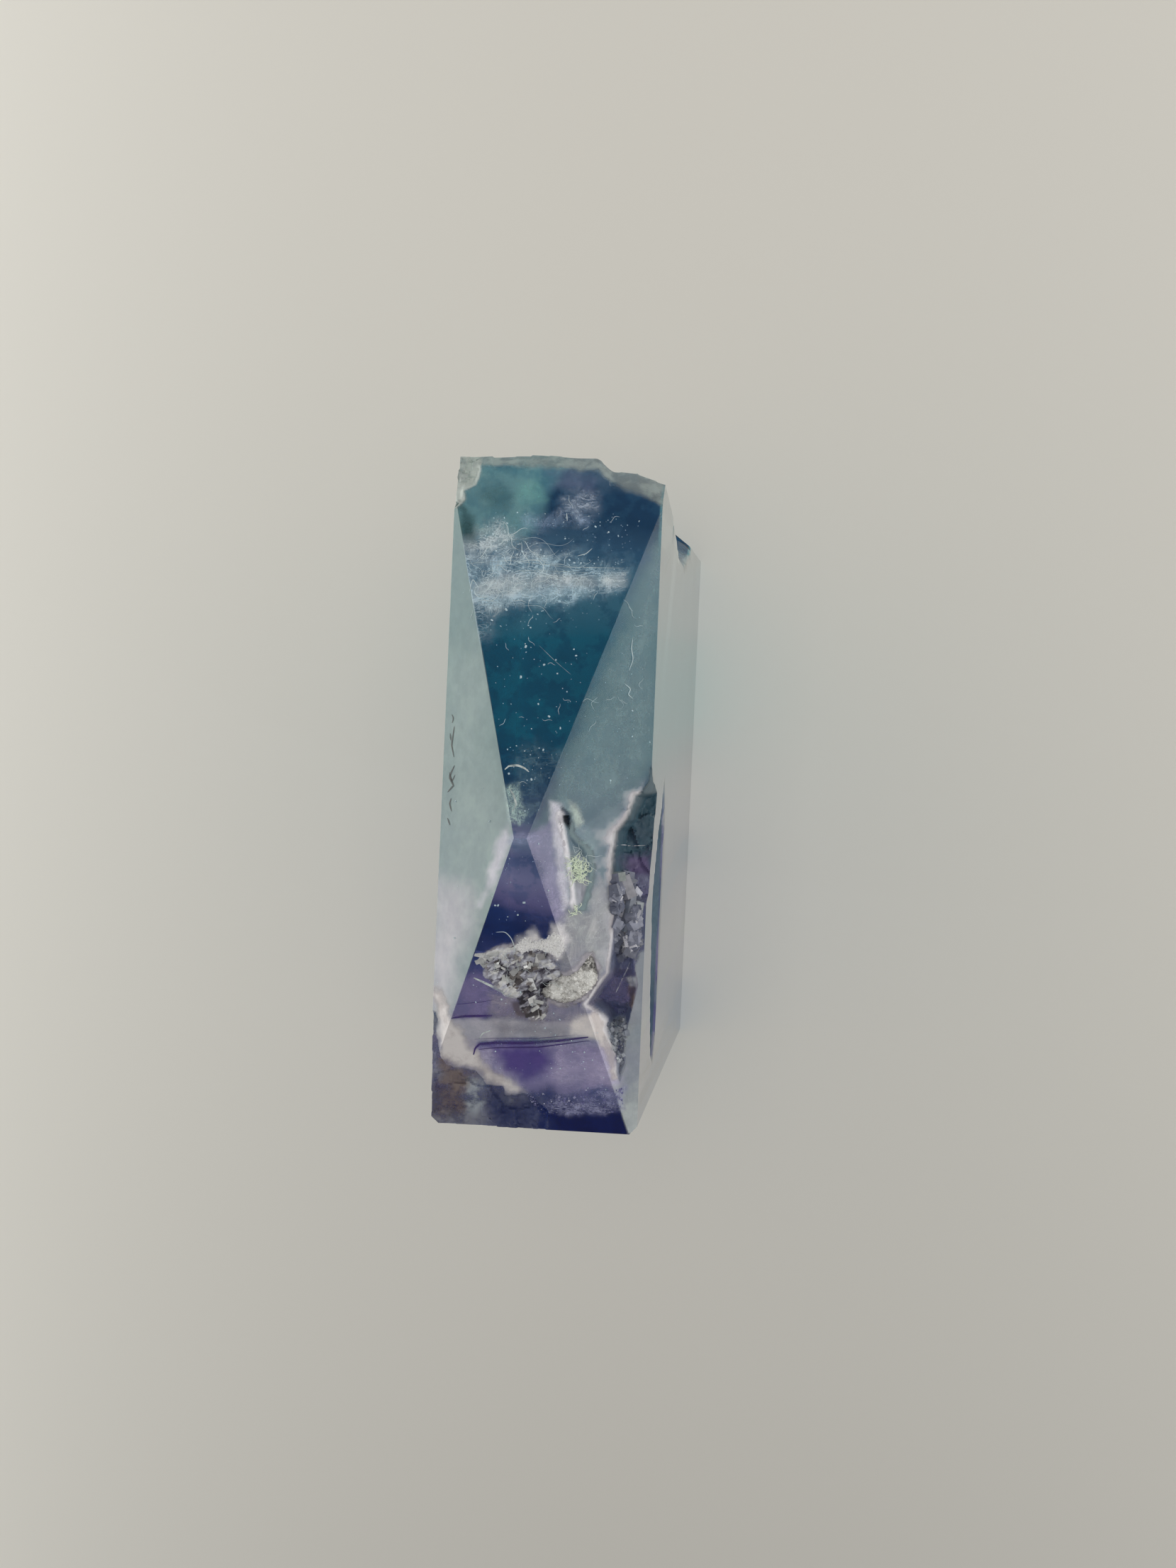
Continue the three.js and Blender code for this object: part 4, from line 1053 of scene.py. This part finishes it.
# ---- crusts, shards and plates in the hollows ----
SUGAR_CRUST = {
    "outline": [(4.7, -13), (5.1, -14.2), (5.4, -15.6), (5, -16.5), (4.1, -17.2), (2.8, -17.8),
        (1.5, -17.5), (0.8, -16.9), (1.4, -16), (2.5, -15.1), (3.6, -14.8), (4.2, -13.8)],
    "below": 0.05, "edge": 0.26, "count": 2000, "seed": 51, "painted_shadow_spot": (4.9, -13.6, 1.2),
    "stops": [(0, (0.1, 0.1, 0.1)), (0.35, (0.42, 0.41, 0.4)), (0.7, (0.84, 0.83, 0.8)), (1, (1, 1, 0.98))],
}
BLOCK_CRUST = {
    "outline": [(6.2, -7.2), (7, -6.8), (7.4, -7.8), (8.1, -9.1), (8.4, -10.4), (8.3, -12.9), (7.6, -13.9),
        (6.5, -14.1), (6.4, -10.3)],
    "below": -0.85, "edge": 0.85, "count": 300, "seed": 61, "in_hollow": True,
    "stops": [(0, (0.07, 0.08, 0.13)), (0.4, (0.23, 0.25, 0.34)), (0.88, (0.44, 0.46, 0.57)),
        (1, (0.86, 0.86, 0.94))],
}
GREY_RUBBLE = {
    "outline": [(6.1, -19.4), (7.8, -19.4), (7.7, -21.5), (7.5, -24), (7, -22.4), (6.4, -20.8)],
    "below": -0.45, "edge": 0.34, "count": 170, "seed": 151, "in_hollow": True,
    "stops": [(0, (0.1, 0.11, 0.16)), (0.5, (0.3, 0.33, 0.4)), (1, (0.66, 0.7, 0.76))],
}
WHITE_FLUFF = {
    "outline": [(-1.8, -12.9), (-0.6, -11.8), (0.4, -12.1), (1.1, -11.9), (1.9, -11.3), (2.6, -11.7),
        (2.95, -13), (2.3, -14.1), (1.4, -13.4), (0.4, -13.1), (-0.8, -13.5)],
    "below": -0.3, "edge": 0.13, "count": 4200, "seed": 71, "thin": 0.55,
    "stops": [(0, (0.74, 0.73, 0.8)), (0.4, (0.96, 0.96, 1)), (1, (1, 1, 1))],
}
# Larger crystals of the cavity: middle (X, Y), how deep its top lies, size, turn about Z, tone.
CAVITY_PRISMS = [
    ((8.02, -11.2), 0.15, (0.7, 4.4, 0.8), -0.03, (0.4, 0.44, 0.47)),
    ((7.45, -9.9), 0.35, (0.55, 3.4, 0.8), -0.1, (0.3, 0.33, 0.4)),
    ((7.2, -7.8), 0.3, (0.95, 2, 0.9), 0.45, (0.38, 0.38, 0.43)),
    ((6.5, -6.9), 0.2, (1.1, 0.75, 0.9), 0.2, (0.34, 0.38, 0.38)),
]
# Where splinters lie: a field, how many, and how deep under the point's faces.
SHARD_FIELDS = [
    ([(-3.9, -13.7), (-2.9, -13.1), (-1.2, -13), (0.8, -13.4), (1.2, -15), (0, -16.8), (-2.2, -16.8),
      (-3.6, -15.6)],
     70, 0.1),
    ([(-4.5, -13.5), (-3.6, -13.8), (-3.7, -15), (-4.3, -14.4)], 12, -0.04),
    ([(-1.2, -16.9), (0.6, -17), (1.2, -18.7), (-0.4, -18.9)], 14, 0),
]
SHARD_TONES = [
    (0, (0.1, 0.09, 0.1)), (0.2, (0.34, 0.3, 0.29)), (0.45, (0.62, 0.64, 0.66)), (0.75, (0.92, 0.94, 0.93)),
    (1, (1, 1, 1)),
]
SILVER_BED = [
    (-4.3, -13.7), (-3.1, -12.9), (-1.4, -12.5), (-0.3, -12.3), (1.3, -12.5), (2.2, -14.3), (2.6, -15.2),
    (1.7, -16), (1, -16.9), (1.5, -17.6), (1.2, -19.1), (0, -19.4), (-1, -18.6), (-1.4, -17.4),
    (-2.4, -17.2), (-3.3, -16.3), (-4.1, -15.6),
]
SILVER_TONES = [
    (0, (0.04, 0.035, 0.05)), (0.3, (0.16, 0.15, 0.2)), (0.55, (0.42, 0.42, 0.5)),
    (0.8, (0.84, 0.86, 0.98)), (1, (1, 1, 1)),
]
BROWN_FACET = [(0.5, -12.9), (2.2, -13.7), (2.1, -14.3), (0.9, -13.8)]
PIT_CORNER = (1.2, -16.3)
SLOT_HOLE = [(2.1, -1.1), (2.5, -1.2), (2.9, -2), (2.7, -2.7), (2.2, -2.2)]
SLOT_TONES = [(0, (0.13, 0.21, 0.28)), (0.5, (0.2, 0.28, 0.34)), (1, (0.44, 0.46, 0.54))]
SLOT_FAR_SIDE = np.array([0.17, 0.26, 0.29])
# Dust: a field and how many specks lie in it.
DUST_FIELDS = [
    ([(-6.6, 24), (7.6, 24), (5, 15), (-5, 13)], 200),
    ([(-5, 14), (5, 15), (0, -3), (-2, -2)], 110),
    ([(1, 0), (8.4, 19), (8.7, 4), (6, 0)], 26),
    ([(-8.6, 22), (-6, 10), (-3, -3), (-8.6, -17)], 9),
    ([(-3, -5), (1, -4), (3, -13), (-5, -13)], 36),
    ([(-6, -15), (5, -18), (7, -26), (-3, -24)], 90),
]
FLECK_BED = [
    (-0.7, -25.8), (1.4, -25.7), (3, -25.9), (4.8, -25.1), (7.6, -25), (7.8, -26.9), (4, -27.8),
    (0.6, -27.6),
]
FLECK_TONES = [(0, (0.15, 0.15, 0.36)), (0.75, (0.32, 0.32, 0.58)), (1, (0.66, 0.67, 0.86))]


def crystal_bed(
        outline, below, edge, count, seed, stops, painted_shadow_spot=(0, 0, 0.1), in_hollow=False, thin=0.01):
    """A crust: turned cubes crowded over an outline, mixed in size but clear of the side walls,
    their middles a little under the point's faces, or under a hollow's own floor, and lower
    towards the outline's edge. Deeper ones are painted darker, as shade, and so are those within
    the painted shadow spot (X, Y, radius). The crust thins out over the last of its width."""
    rng = np.random.default_rng(seed)
    spots = scattered(outline, count, seed)
    full = smoothstep(inside_distance(outline, *spots.T), 0, thin)
    spots = spots[rng.random(len(spots)) < full]
    x, y = spots.T
    inside = inside_distance(outline, x, y)
    sizes = edge * (0.45 + 0.9 * rng.random(len(spots)) ** 2)
    sizes = np.minimum(sizes, (HALF_WIDTH - np.abs(x)) / 0.9)
    level = 0.5 * np.exp(-inside / 0.25) + 0.3 * rng.random(len(spots)) + 0.15 * swells(x, y, 0.9, seed)
    ground = top_height(x, y)[0] if in_hollow else point_height(x, y)
    z = ground - below - level - 0.3 * sizes
    stretch = np.stack([sizes, sizes * (0.7 + 0.5 * rng.random(len(spots))), sizes], -1)
    turns = rng.random((len(spots), 3)) * 3
    # Painted shade: deeper crystals are darker, and the spot below is a painted shadow.
    lightness = 1.05 - 1.2 * level + 0.6 * (rng.random(len(spots)) - 0.5)
    shadow = smoothstep(np.hypot(x - painted_shadow_spot[0], y - painted_shadow_spot[1]), 1.3 * painted_shadow_spot[2], 0.7 * painted_shadow_spot[2])
    lightness = np.clip(lightness - 0.55 * shadow, 0, 1)
    return blocks(np.stack([x, y, z], -1), stretch, turns, tones(lightness, stops))


def cavity_prisms():
    """The cavity's few larger crystals: long boxes turned about Z and tipped a little, their tops
    set a given depth under the point's faces."""
    middles, depths, sizes, turns, colours = (np.array(column) for column in zip(*CAVITY_PRISMS))
    z = point_height(*middles.T) - depths - sizes[:, 2] / 2
    tipped = np.column_stack([np.full(len(z), 0.12), np.full(len(z), 0.65), turns])
    return blocks(np.column_stack([middles, z]), sizes, tipped, colours)


def cleaved_shards():
    """Thin flat splinters in the pit and at its mouth: mostly small, longer than wide, 0.05 mm
    thick, leaning up to 37 degrees each way, each with its own tone."""
    rng = np.random.default_rng(131)
    fields, counts, depths = zip(*SHARD_FIELDS)
    places = [scattered(field, many, 132 + n) for n, (field, many) in enumerate(zip(fields, counts))]
    spots = np.concatenate(places)
    depth = np.repeat(depths, [len(some) for some in places])
    count = len(spots)
    wide = 0.3 + 0.9 * rng.random(count) ** 1.5
    sizes = np.stack([wide, wide * (0.3 + 0.5 * rng.random(count)), np.full(count, 0.05)], -1)
    z = point_height(*spots.T) - depth - 0.45 * rng.random(count) * (depth > 0)
    turns = (rng.random((count, 3)) - 0.5) * (1.3, 1.3, 6.3)
    return blocks(np.column_stack([spots, z]), sizes, turns, tones(rng.random(count), SHARD_TONES))


def fine_grid(outline, step, margin=0.0):
    """X and Y of a fine square grid over an outline's box."""
    (left, front), (right, back) = np.min(outline, axis=0) - margin, np.max(outline, axis=0) + margin
    return np.meshgrid(np.arange(left, right, step), np.arange(front, back, step))


def slot_bed():
    """The slot's shallow floor: over a fine grid inside its mouth, an even dip that is 0.5 mm deep
    0.7 mm in from the mouth, left open over the small dark hole at its upper end."""
    x, y = fine_grid(SLOT["mouth"], 0.1, 0.5)
    inside = inside_distance(SLOT["mouth"], x, y)
    z = point_height(x, y) + 0.06 - 0.5 * smoothstep(inside, 0, 0.7) + 0.06 * swells(x, y, 0.5, 141)
    cover = smoothstep(inside + 0.12 * swells(x, y, 0.5, 143), -0.45, -0.1)
    cover = cover * smoothstep(inside_distance(SLOT_HOLE, x, y), 0.1, -0.25)
    light = smoothstep(y, -2.5, -8.5) + 0.4 * swells(x, y, 0.6, 142)
    left = smoothstep(profile(SLOT_LIP["middle"], y) - x, 0, 0.3)[..., None]
    edge = smoothstep(inside, 0.3, 0)[..., None]
    rim = left * SLOT_LIP["colour"] + (1 - left) * SLOT_FAR_SIDE
    tone = tones(np.clip(light, 0, 1), SLOT_TONES) * (1 - edge) + rim * edge
    return cut_out(x, y, z, cover, LEAST_COVER, {"tone": tone, "cover": cover})


def silver_plates():
    """Crumpled cleavage plates that fill the pit: over a fine grid, long tilted plates of two
    sizes that run up to the right, on a floor that sinks in from the mouth and towards the pit's
    deep corner and thins out at its edge. Their tones are painted darker towards that corner, as shade, and
    darker towards the pit's front end."""
    x, y = fine_grid(SILVER_BED, 0.08)
    inside = inside_distance(SILVER_BED, x, y)
    within = smoothstep(inside_distance(DRUZY_PIT["mouth"], x, y), 0, 0.8)
    along, across = 0.55 * (0.87 * x + 0.5 * y), 1.25 * (0.87 * y - 0.5 * x)
    from_corner = np.hypot(x - PIT_CORNER[0], y - PIT_CORNER[1])
    sink = 0.35 * within + 0.9 * smoothstep(from_corner, 0.9, 0.3)
    relief = 0.55 * plates(along, across, 0.9, 71) + 0.2 * plates(along, across, 0.3, 72)
    z = point_height(x, y) + 0.05 - np.maximum(sink - relief * (0.15 + 0.85 * within), -0.1)
    light = 0.68 + 0.9 * plates(along, across, 0.9, 74) + 0.7 * plates(along, across, 0.3, 76)
    # Painted shade towards the deep corner; the plates are also darker towards the front end.
    light -= 0.5 * smoothstep(from_corner, 1.1, 0.4) + 0.25 * smoothstep(y, -16.6, -17.8)
    light -= 0.35 * smoothstep(inside_distance(BROWN_FACET, x, y), -0.1, 0.1)
    tone = tones(np.clip(light, 0, 1), SILVER_TONES)
    cover = smoothstep(inside + 0.15 * swells(x, y, 0.4, 77), -0.05, 0.3)
    return cut_out(x, y, z, inside, -0.05, {"tone": tone, "cover": cover}, np.min)


def dust_specks():
    """Tiny stretched blocks, most of them very small, just above the point's faces."""
    spots = np.concatenate([scattered(field, count, 100 + n) for n, (field, count) in enumerate(DUST_FIELDS)])
    rng = np.random.default_rng(99)
    count = len(spots)
    size = 0.03 + 0.09 * rng.random(count) ** 5
    stretch = size[:, None] * np.stack([1 + rng.random(count), np.ones(count), np.ones(count)], -1)
    centres = np.column_stack([spots, point_height(*spots.T) + 0.05])
    return blocks(centres, stretch, rng.random((count, 3)) * 3)


def growth_flecks():
    """Small crystals scattered over the edge of the dark foot band, thicker towards the band."""
    spots = scattered(FLECK_BED, 900, 121)
    rng = np.random.default_rng(122)
    towards = smoothstep(spots[:, 1] - 0.12 * spots[:, 0], -28.2, -26.2)
    crowd = towards * (0.5 + 0.6 * swells(*spots.T, 0.8, 123))
    spots = spots[rng.random(len(spots)) < crowd]
    size = 0.035 + 0.15 * rng.random(len(spots)) ** 4
    turns = rng.random((len(spots), 3)) * 3
    centres = np.column_stack([spots, point_height(*spots.T) + 0.02])
    return blocks(centres, np.repeat(size[:, None], 3, 1), turns, tones(rng.random(len(spots)), FLECK_TONES))


# ---- lines and hairs ----
# Thin bands on the stone: colour, least and greatest cover, and each line's width and path.
LINE_KINDS = {
    "growth_lines": ((0.06, 0.03, 0.2), (0.6, 0.95), [
        (0.2, [(-6.9, -19.45), (-5.8, -19.2), (-4.6, -19.1), (-3.4, -19)]),
        (0.26, [(-5.05, -22.6), (-4.9, -22), (-4.5, -21.6), (-3.1, -21.4), (-0.7, -21.3), (2.35, -20.9),
            (4.75, -20.45)]),
        (0.12, [(-4.6, -22.1), (-3.1, -21.85), (0.5, -21.6), (4.9, -20.75)]),
        (0.05, [(-4.9, -21.2), (-3.1, -21), (0.5, -20.8), (3.2, -20.4)]),
        (0.05, [(-6.6, -18.2), (-4.6, -17.9), (-3.2, -17.6)]),
    ]),
    "pale_cracks": ((0.86, 0.95, 0.93), (0.35, 1), [
        (0.17, [(-2.6, 1.8), (-2.3, 2.1), (-1.6, 2.2), (-1, 2), (-0.6, 1.7)]),
        (0.16, [(-2.1, 0.3), (-1.75, -0.15), (-1.4, -1), (-1.7, -1.6)]),
        (0.22, [(-4.9, -15.75), (-3.6, -16.3), (-2.3, -17), (-1.6, -17.3)]),
        (0.1, [(-4.6, -21.2), (-4.2, -20.6), (-3.4, -20.3)]),
        (0.04, [(-7.2, 19), (-3.7, 19.4), (1.2, 19), (6, 19.1)]),
        (0.04, [(-6, 18.4), (-1.2, 18.6), (3, 18.6)]),
        (0.02, [(-0.6, 12.2), (0.9, 10.9), (2.2, 9.9)]),
    ]),
    "hollow_cracks": ((0.8, 0.8, 0.86), (0.2, 1), [
        (0.1, [(7.7, -14.3), (7.2, -15.6), (6.6, -17)]),
        (0.07, [(6.1, -4.3), (7, -4.5), (8.3, -4.4)]),
    ]),
    "scratches": ((0.04, 0.05, 0.05), (0.6, 1), [
        (0.14, [(-7.9, 5.2), (-8.1, 3.6), (-7.8, 2.6)]),
        (0.2, [(-7.7, 1.9), (-8.2, 0.9), (-7.7, 0.2), (-8.3, -0.4)]),
        (0.16, [(-7.6, 1.1), (-7.9, 0.5), (-8.2, 1.3)]),
        (0.15, [(-7.9, -0.9), (-8.05, -1.4), (-7.8, -2)]),
        (0.16, [(-8.3, 4.6), (-8.2, 4)]),
        (0.12, [(-8.2, 6.2), (-8, 5.9), (-8.15, 5.5)]),
        (0.14, [(-8.2, -2.6), (-7.9, -3.2)]),
    ]),
}
# Hairs that lie on the point, as listed and as scattered over a field: outline, count,
# length, curl, how high the middles stand, seed, for level ones their heading and points, radius.
LINT = [
    [(7, 13.3), (6.9, 12.4), (7.1, 11.5), (6.8, 10.5)],
    [(6.5, 9.4), (7, 9), (6.8, 8.5), (7.2, 8.2)],
    [(2, 20), (2.7, 20.2), (3.2, 20.7)],
    [(-2.6, 19.4), (-1.9, 19.5), (-1.2, 19.5), (-0.8, 19)],
    [(0.8, 23.7), (0.9, 23)],
    [(-6.9, 16.5), (-6.7, 17.7), (-6.1, 16.9)],
    [(-2.95, -11.7), (-2.2, -11.6), (-1.7, -12.1), (-1.4, -12.9), (-1.5, -13.5)],
]
FEATHER_FIELD = [(-7.4, 19.4), (-4.6, 21.8), (-1, 20.2), (0.4, 18.6), (-2.4, 16), (-6.6, 15)]
THREADS = [
    (FEATHER_FIELD, 34, 1.9, 2.6, 0.10, 81, 0.014),
    (FEATHER_FIELD, 22, 2.2, 2.2, 0.10, 89, 0.028),
    (FEATHER_FIELD, 22, 4.5, 0.8, 0.10, 82, 5, 20, 0.011),
    ([(-7, 25), (8, 24), (0, 0), (-3, 2)], 18, 1.2, 2.2, 0.12, 83, 0.014),
    ([(2, 3), (8, 18), (8.6, 4)], 10, 1.3, 4.0, 0.12, 84, 0.013),
    ([(-3, -13.4), (1, -12.8), (1.6, -17), (-2.6, -17)], 16, 1.4, 4.0, 0.25, 85, 0.013),
    ([(2.9, -4.6), (4.2, -4.6), (4.4, -7), (3, -7)], 26, 1.5, 5.0, 0.3, 88, 0.014),
]
SLOT_TUFT = [(3, -5.5), (3.9, -5.6), (4, -7.2), (3.3, -7.3)]
SLOT_END_TUFT = [(3.2, -9.3), (3.7, -9.4), (3.7, -10), (3.3, -10)]
THREAD_COLOUR, TUFT_COLOUR, DUST_COLOUR = (0.84, 0.95, 0.98), (0.9, 1, 0.82), (0.74, 0.9, 0.98)


def lint_and_threads():
    """Lint along listed paths, threads over their fields, and level threads along the feathery growth."""
    threads = [tubes(hairs(*field), radius) for *field, radius in THREADS]
    return gathered([tubes(smooth_paths(LINT, 0.10), 0.035, sides=5), *threads])


def slot_tuft():
    """Two tufts of curly fibres in the slot."""
    return tubes(np.concatenate([
        hairs(SLOT_TUFT, 80, 1.0, 9.0, 0.3, 86, points=16),
        hairs(SLOT_END_TUFT, 14, 0.7, 6.0, 0.2, 87, points=16)]), 0.033)


# ---- build ----
x_top, y_top = top_grid()
z_top, broken_top = top_height(x_top, y_top)
tower_parts = tower_mesh(x_top, y_top, z_top, broken_top)
tower = add_mesh("fluorite_tower", fluorite_finish(), *tower_parts, closed=True)
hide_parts("fluorite_generator")

# The pale lips are laid wide and thin under the polish, and again narrow and full on the breaks.
milky = zone_cover(MILKY_ZONES, x_top, y_top)
add_lip(milky, SIDE_CAVITY, CAVITY_LIP, x_top, y_top, spread=2.6, share=0.5)
add_lip(milky, SLOT, SLOT_LIP, x_top, y_top, spread=2.6, share=0.5)
milky["cover"] = milky["cover"] * smoothstep(broken_top, 1.0, 0.6)
milky_skin = skin_shape(milky, x_top, y_top, z_top + MILKY_LIFT)
growth = add_mesh("milky_growth", milky_finish(), *milky_skin)

frosted = zone_cover(FROSTED_ZONES, x_top, y_top)
add_lip(frosted, SIDE_CAVITY, CAVITY_LIP, x_top, y_top)
add_lip(frosted, SLOT, SLOT_LIP, x_top, y_top)
frosted_skin = skin_shape(frosted, x_top, y_top, z_top + FROSTED_LIFT)
breaks = add_mesh("frosted_breaks", frosted_finish(), *frosted_skin)

druse = add_mesh("sugar_druse", toned_finish("sugar_druse", 0.12), *crystal_bed(**SUGAR_CRUST))
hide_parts("druzy_crust")

blocky = gathered([crystal_bed(**BLOCK_CRUST), cavity_prisms()])
crust = add_mesh("block_druse", toned_finish("block_druse", 0.15), *blocky)
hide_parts("cavity_crust")

rubble = add_mesh("grey_rubble", toned_finish("grey_rubble", 0.2), *crystal_bed(**GREY_RUBBLE))

fluff_finish = toned_finish("white_fluff", 0.45, mottling=0.08)
fluff = add_mesh("white_fluff", fluff_finish, *crystal_bed(**WHITE_FLUFF))

silver = add_mesh("silver_plates", toned_finish("silver_plates", 0.16, fades=True), *silver_plates())

bed = add_mesh("slot_bed", toned_finish("slot_bed", 0.3, mottling=0.2, fades=True), *slot_bed())

shard_finish = toned_finish("cleaved_shards", 0.10, metallic=0.2)
shards = add_mesh("cleaved_shards", shard_finish, *cleaved_shards())

for name, (colour, covers, lines) in LINE_KINDS.items():
    ribbons = [ribbon(path, width, over_hollows=name == "hollow_cracks") for width, path in lines]
    finish = plain_finish(name, colour, 0.4, mottling=0.3, size=2.0, covers=covers)
    piece = add_mesh(name, finish, *gathered(ribbons))

thread_finish = plain_finish("pale_thread", THREAD_COLOUR, 0.5, mottling=0.2)
lint = add_mesh("lint_and_feather_threads", thread_finish, *lint_and_threads())

tuft = add_mesh("slot_tuft", plain_finish("slot_tuft", TUFT_COLOUR, 0.5, mottling=0.12), *slot_tuft())

flecks = add_mesh("growth_flecks", toned_finish("growth_flecks", 0.2), *growth_flecks())

dust = add_mesh("dust_specks", plain_finish("dust_specks", DUST_COLOUR, 0.6, mottling=0.1), *dust_specks())


# ---- floor, light and camera ----
# Soft panels: middle, the point they face, width and length, power, colour, spread in degrees.
PANELS = {
    "left_panel": ((-140, 0, 50), (0, 0, 50), (90, 460), 0.25, (1, 1, 0.97), 180),
    "right_panel": ((185, 0, 70), (0, 0, 70), (130, 460), 0.25, (1, 0.99, 0.96), 180),
    "overhead": ((25, 40, 520), (45, 190, 0), (200, 200), 0.17, (1, 0.97, 0.92), 75),
}
ROOM_COLOUR, ROOM_STRENGTH = (1.0, 1.0, 0.98, 1), 0.26
TABLE_COLOUR = (0.74, 0.72, 0.67, 1)
TABLE_HALF, TABLE_BELOW = 1500, 0.15

# The camera: its frame, focal length and the place right below it on that frame, in pixels; its
# roll in degrees and its place.
FRAME_SIZE = np.array([1659.0, 2212.0])
FOCAL = 3318.0
NADIR = np.array([1124.0, 1075.0])
ROLL = 2.6
CAMERA_PLACE = (21.17, 3.47, 276.4)
SENSOR_HEIGHT = 36


def set_up(name, data, axes, place):
    """A lamp or a camera with its three axes and its place in millimetres."""
    holder = bpy.data.objects.new(name, data)
    matrix = Matrix(np.stack(axes, axis=1).tolist()).to_4x4()
    matrix.translation = [number * MM for number in place]
    holder.matrix_world = matrix
    bpy.context.scene.collection.objects.link(holder)
    return holder


def soft_light(name, place, towards, size, power, colour, spread):
    """A large soft area light, unseen by the camera and through the stone."""
    lamp = bpy.data.lights.new(name, "AREA")
    lamp.shape = "RECTANGLE"
    lamp.size, lamp.size_y = (side * MM for side in size)
    lamp.energy = power
    lamp.color = colour
    lamp.spread = np.radians(spread)
    back = unit(np.subtract(place, towards))
    side = unit(np.cross((0, 1, 0), back))
    holder = set_up(name, lamp, (side, np.cross(back, side), back), place)
    holder.visible_camera = False
    holder.visible_transmission = False


def light_room():
    """Dim, even room light; two long soft panels low on each side and one overhead."""
    world = bpy.data.worlds.new("room")
    world.use_nodes = True
    feed(world.node_tree.nodes["Background"], {"Color": ROOM_COLOUR, "Strength": ROOM_STRENGTH})
    bpy.context.scene.world = world
    for name, panel in PANELS.items():
        soft_light(name, *panel)


def lay_floor():
    """A plain level sheet of matt pale paper just under the base."""
    finish, _tree, shader = new_finish("pale_table")
    feed(shader, {"Base Color": TABLE_COLOUR, "Roughness": 0.9, "Specular IOR Level": 0.1})
    sides = ((-1, -1), (1, -1), (1, 1), (-1, 1))
    corners = [(x * TABLE_HALF, y * TABLE_HALF, -TABLE_BELOW) for x, y in sides]
    add_mesh("table", finish, corners, [(0, 1, 2, 3)], {})


def set_camera():
    """A 54 mm lens 276 mm above the table: its own down direction leads to the place on its frame
    right under it, and it is rolled a little."""
    right, down = NADIR - FRAME_SIZE / 2
    up = -unit(np.array([right, -down, -FOCAL]))
    roll = np.radians(ROLL)
    along = np.array([np.sin(roll), np.cos(roll), 0])
    along = unit(along - up * (along @ up))
    lens = bpy.data.cameras.new("camera")
    lens.sensor_fit = "VERTICAL"
    lens.sensor_height = SENSOR_HEIGHT
    lens.lens = SENSOR_HEIGHT * FOCAL / FRAME_SIZE[1]
    lens.clip_start = 0.01
    to_frame = np.stack([np.cross(along, up), along, up])
    bpy.context.scene.camera = set_up("camera", lens, to_frame.T, CAMERA_PLACE)


lay_floor()
light_room()
set_camera()
bpy.context.scene.view_settings.view_transform = "Standard"
bpy.context.scene.cycles.transparent_max_bounces = 24
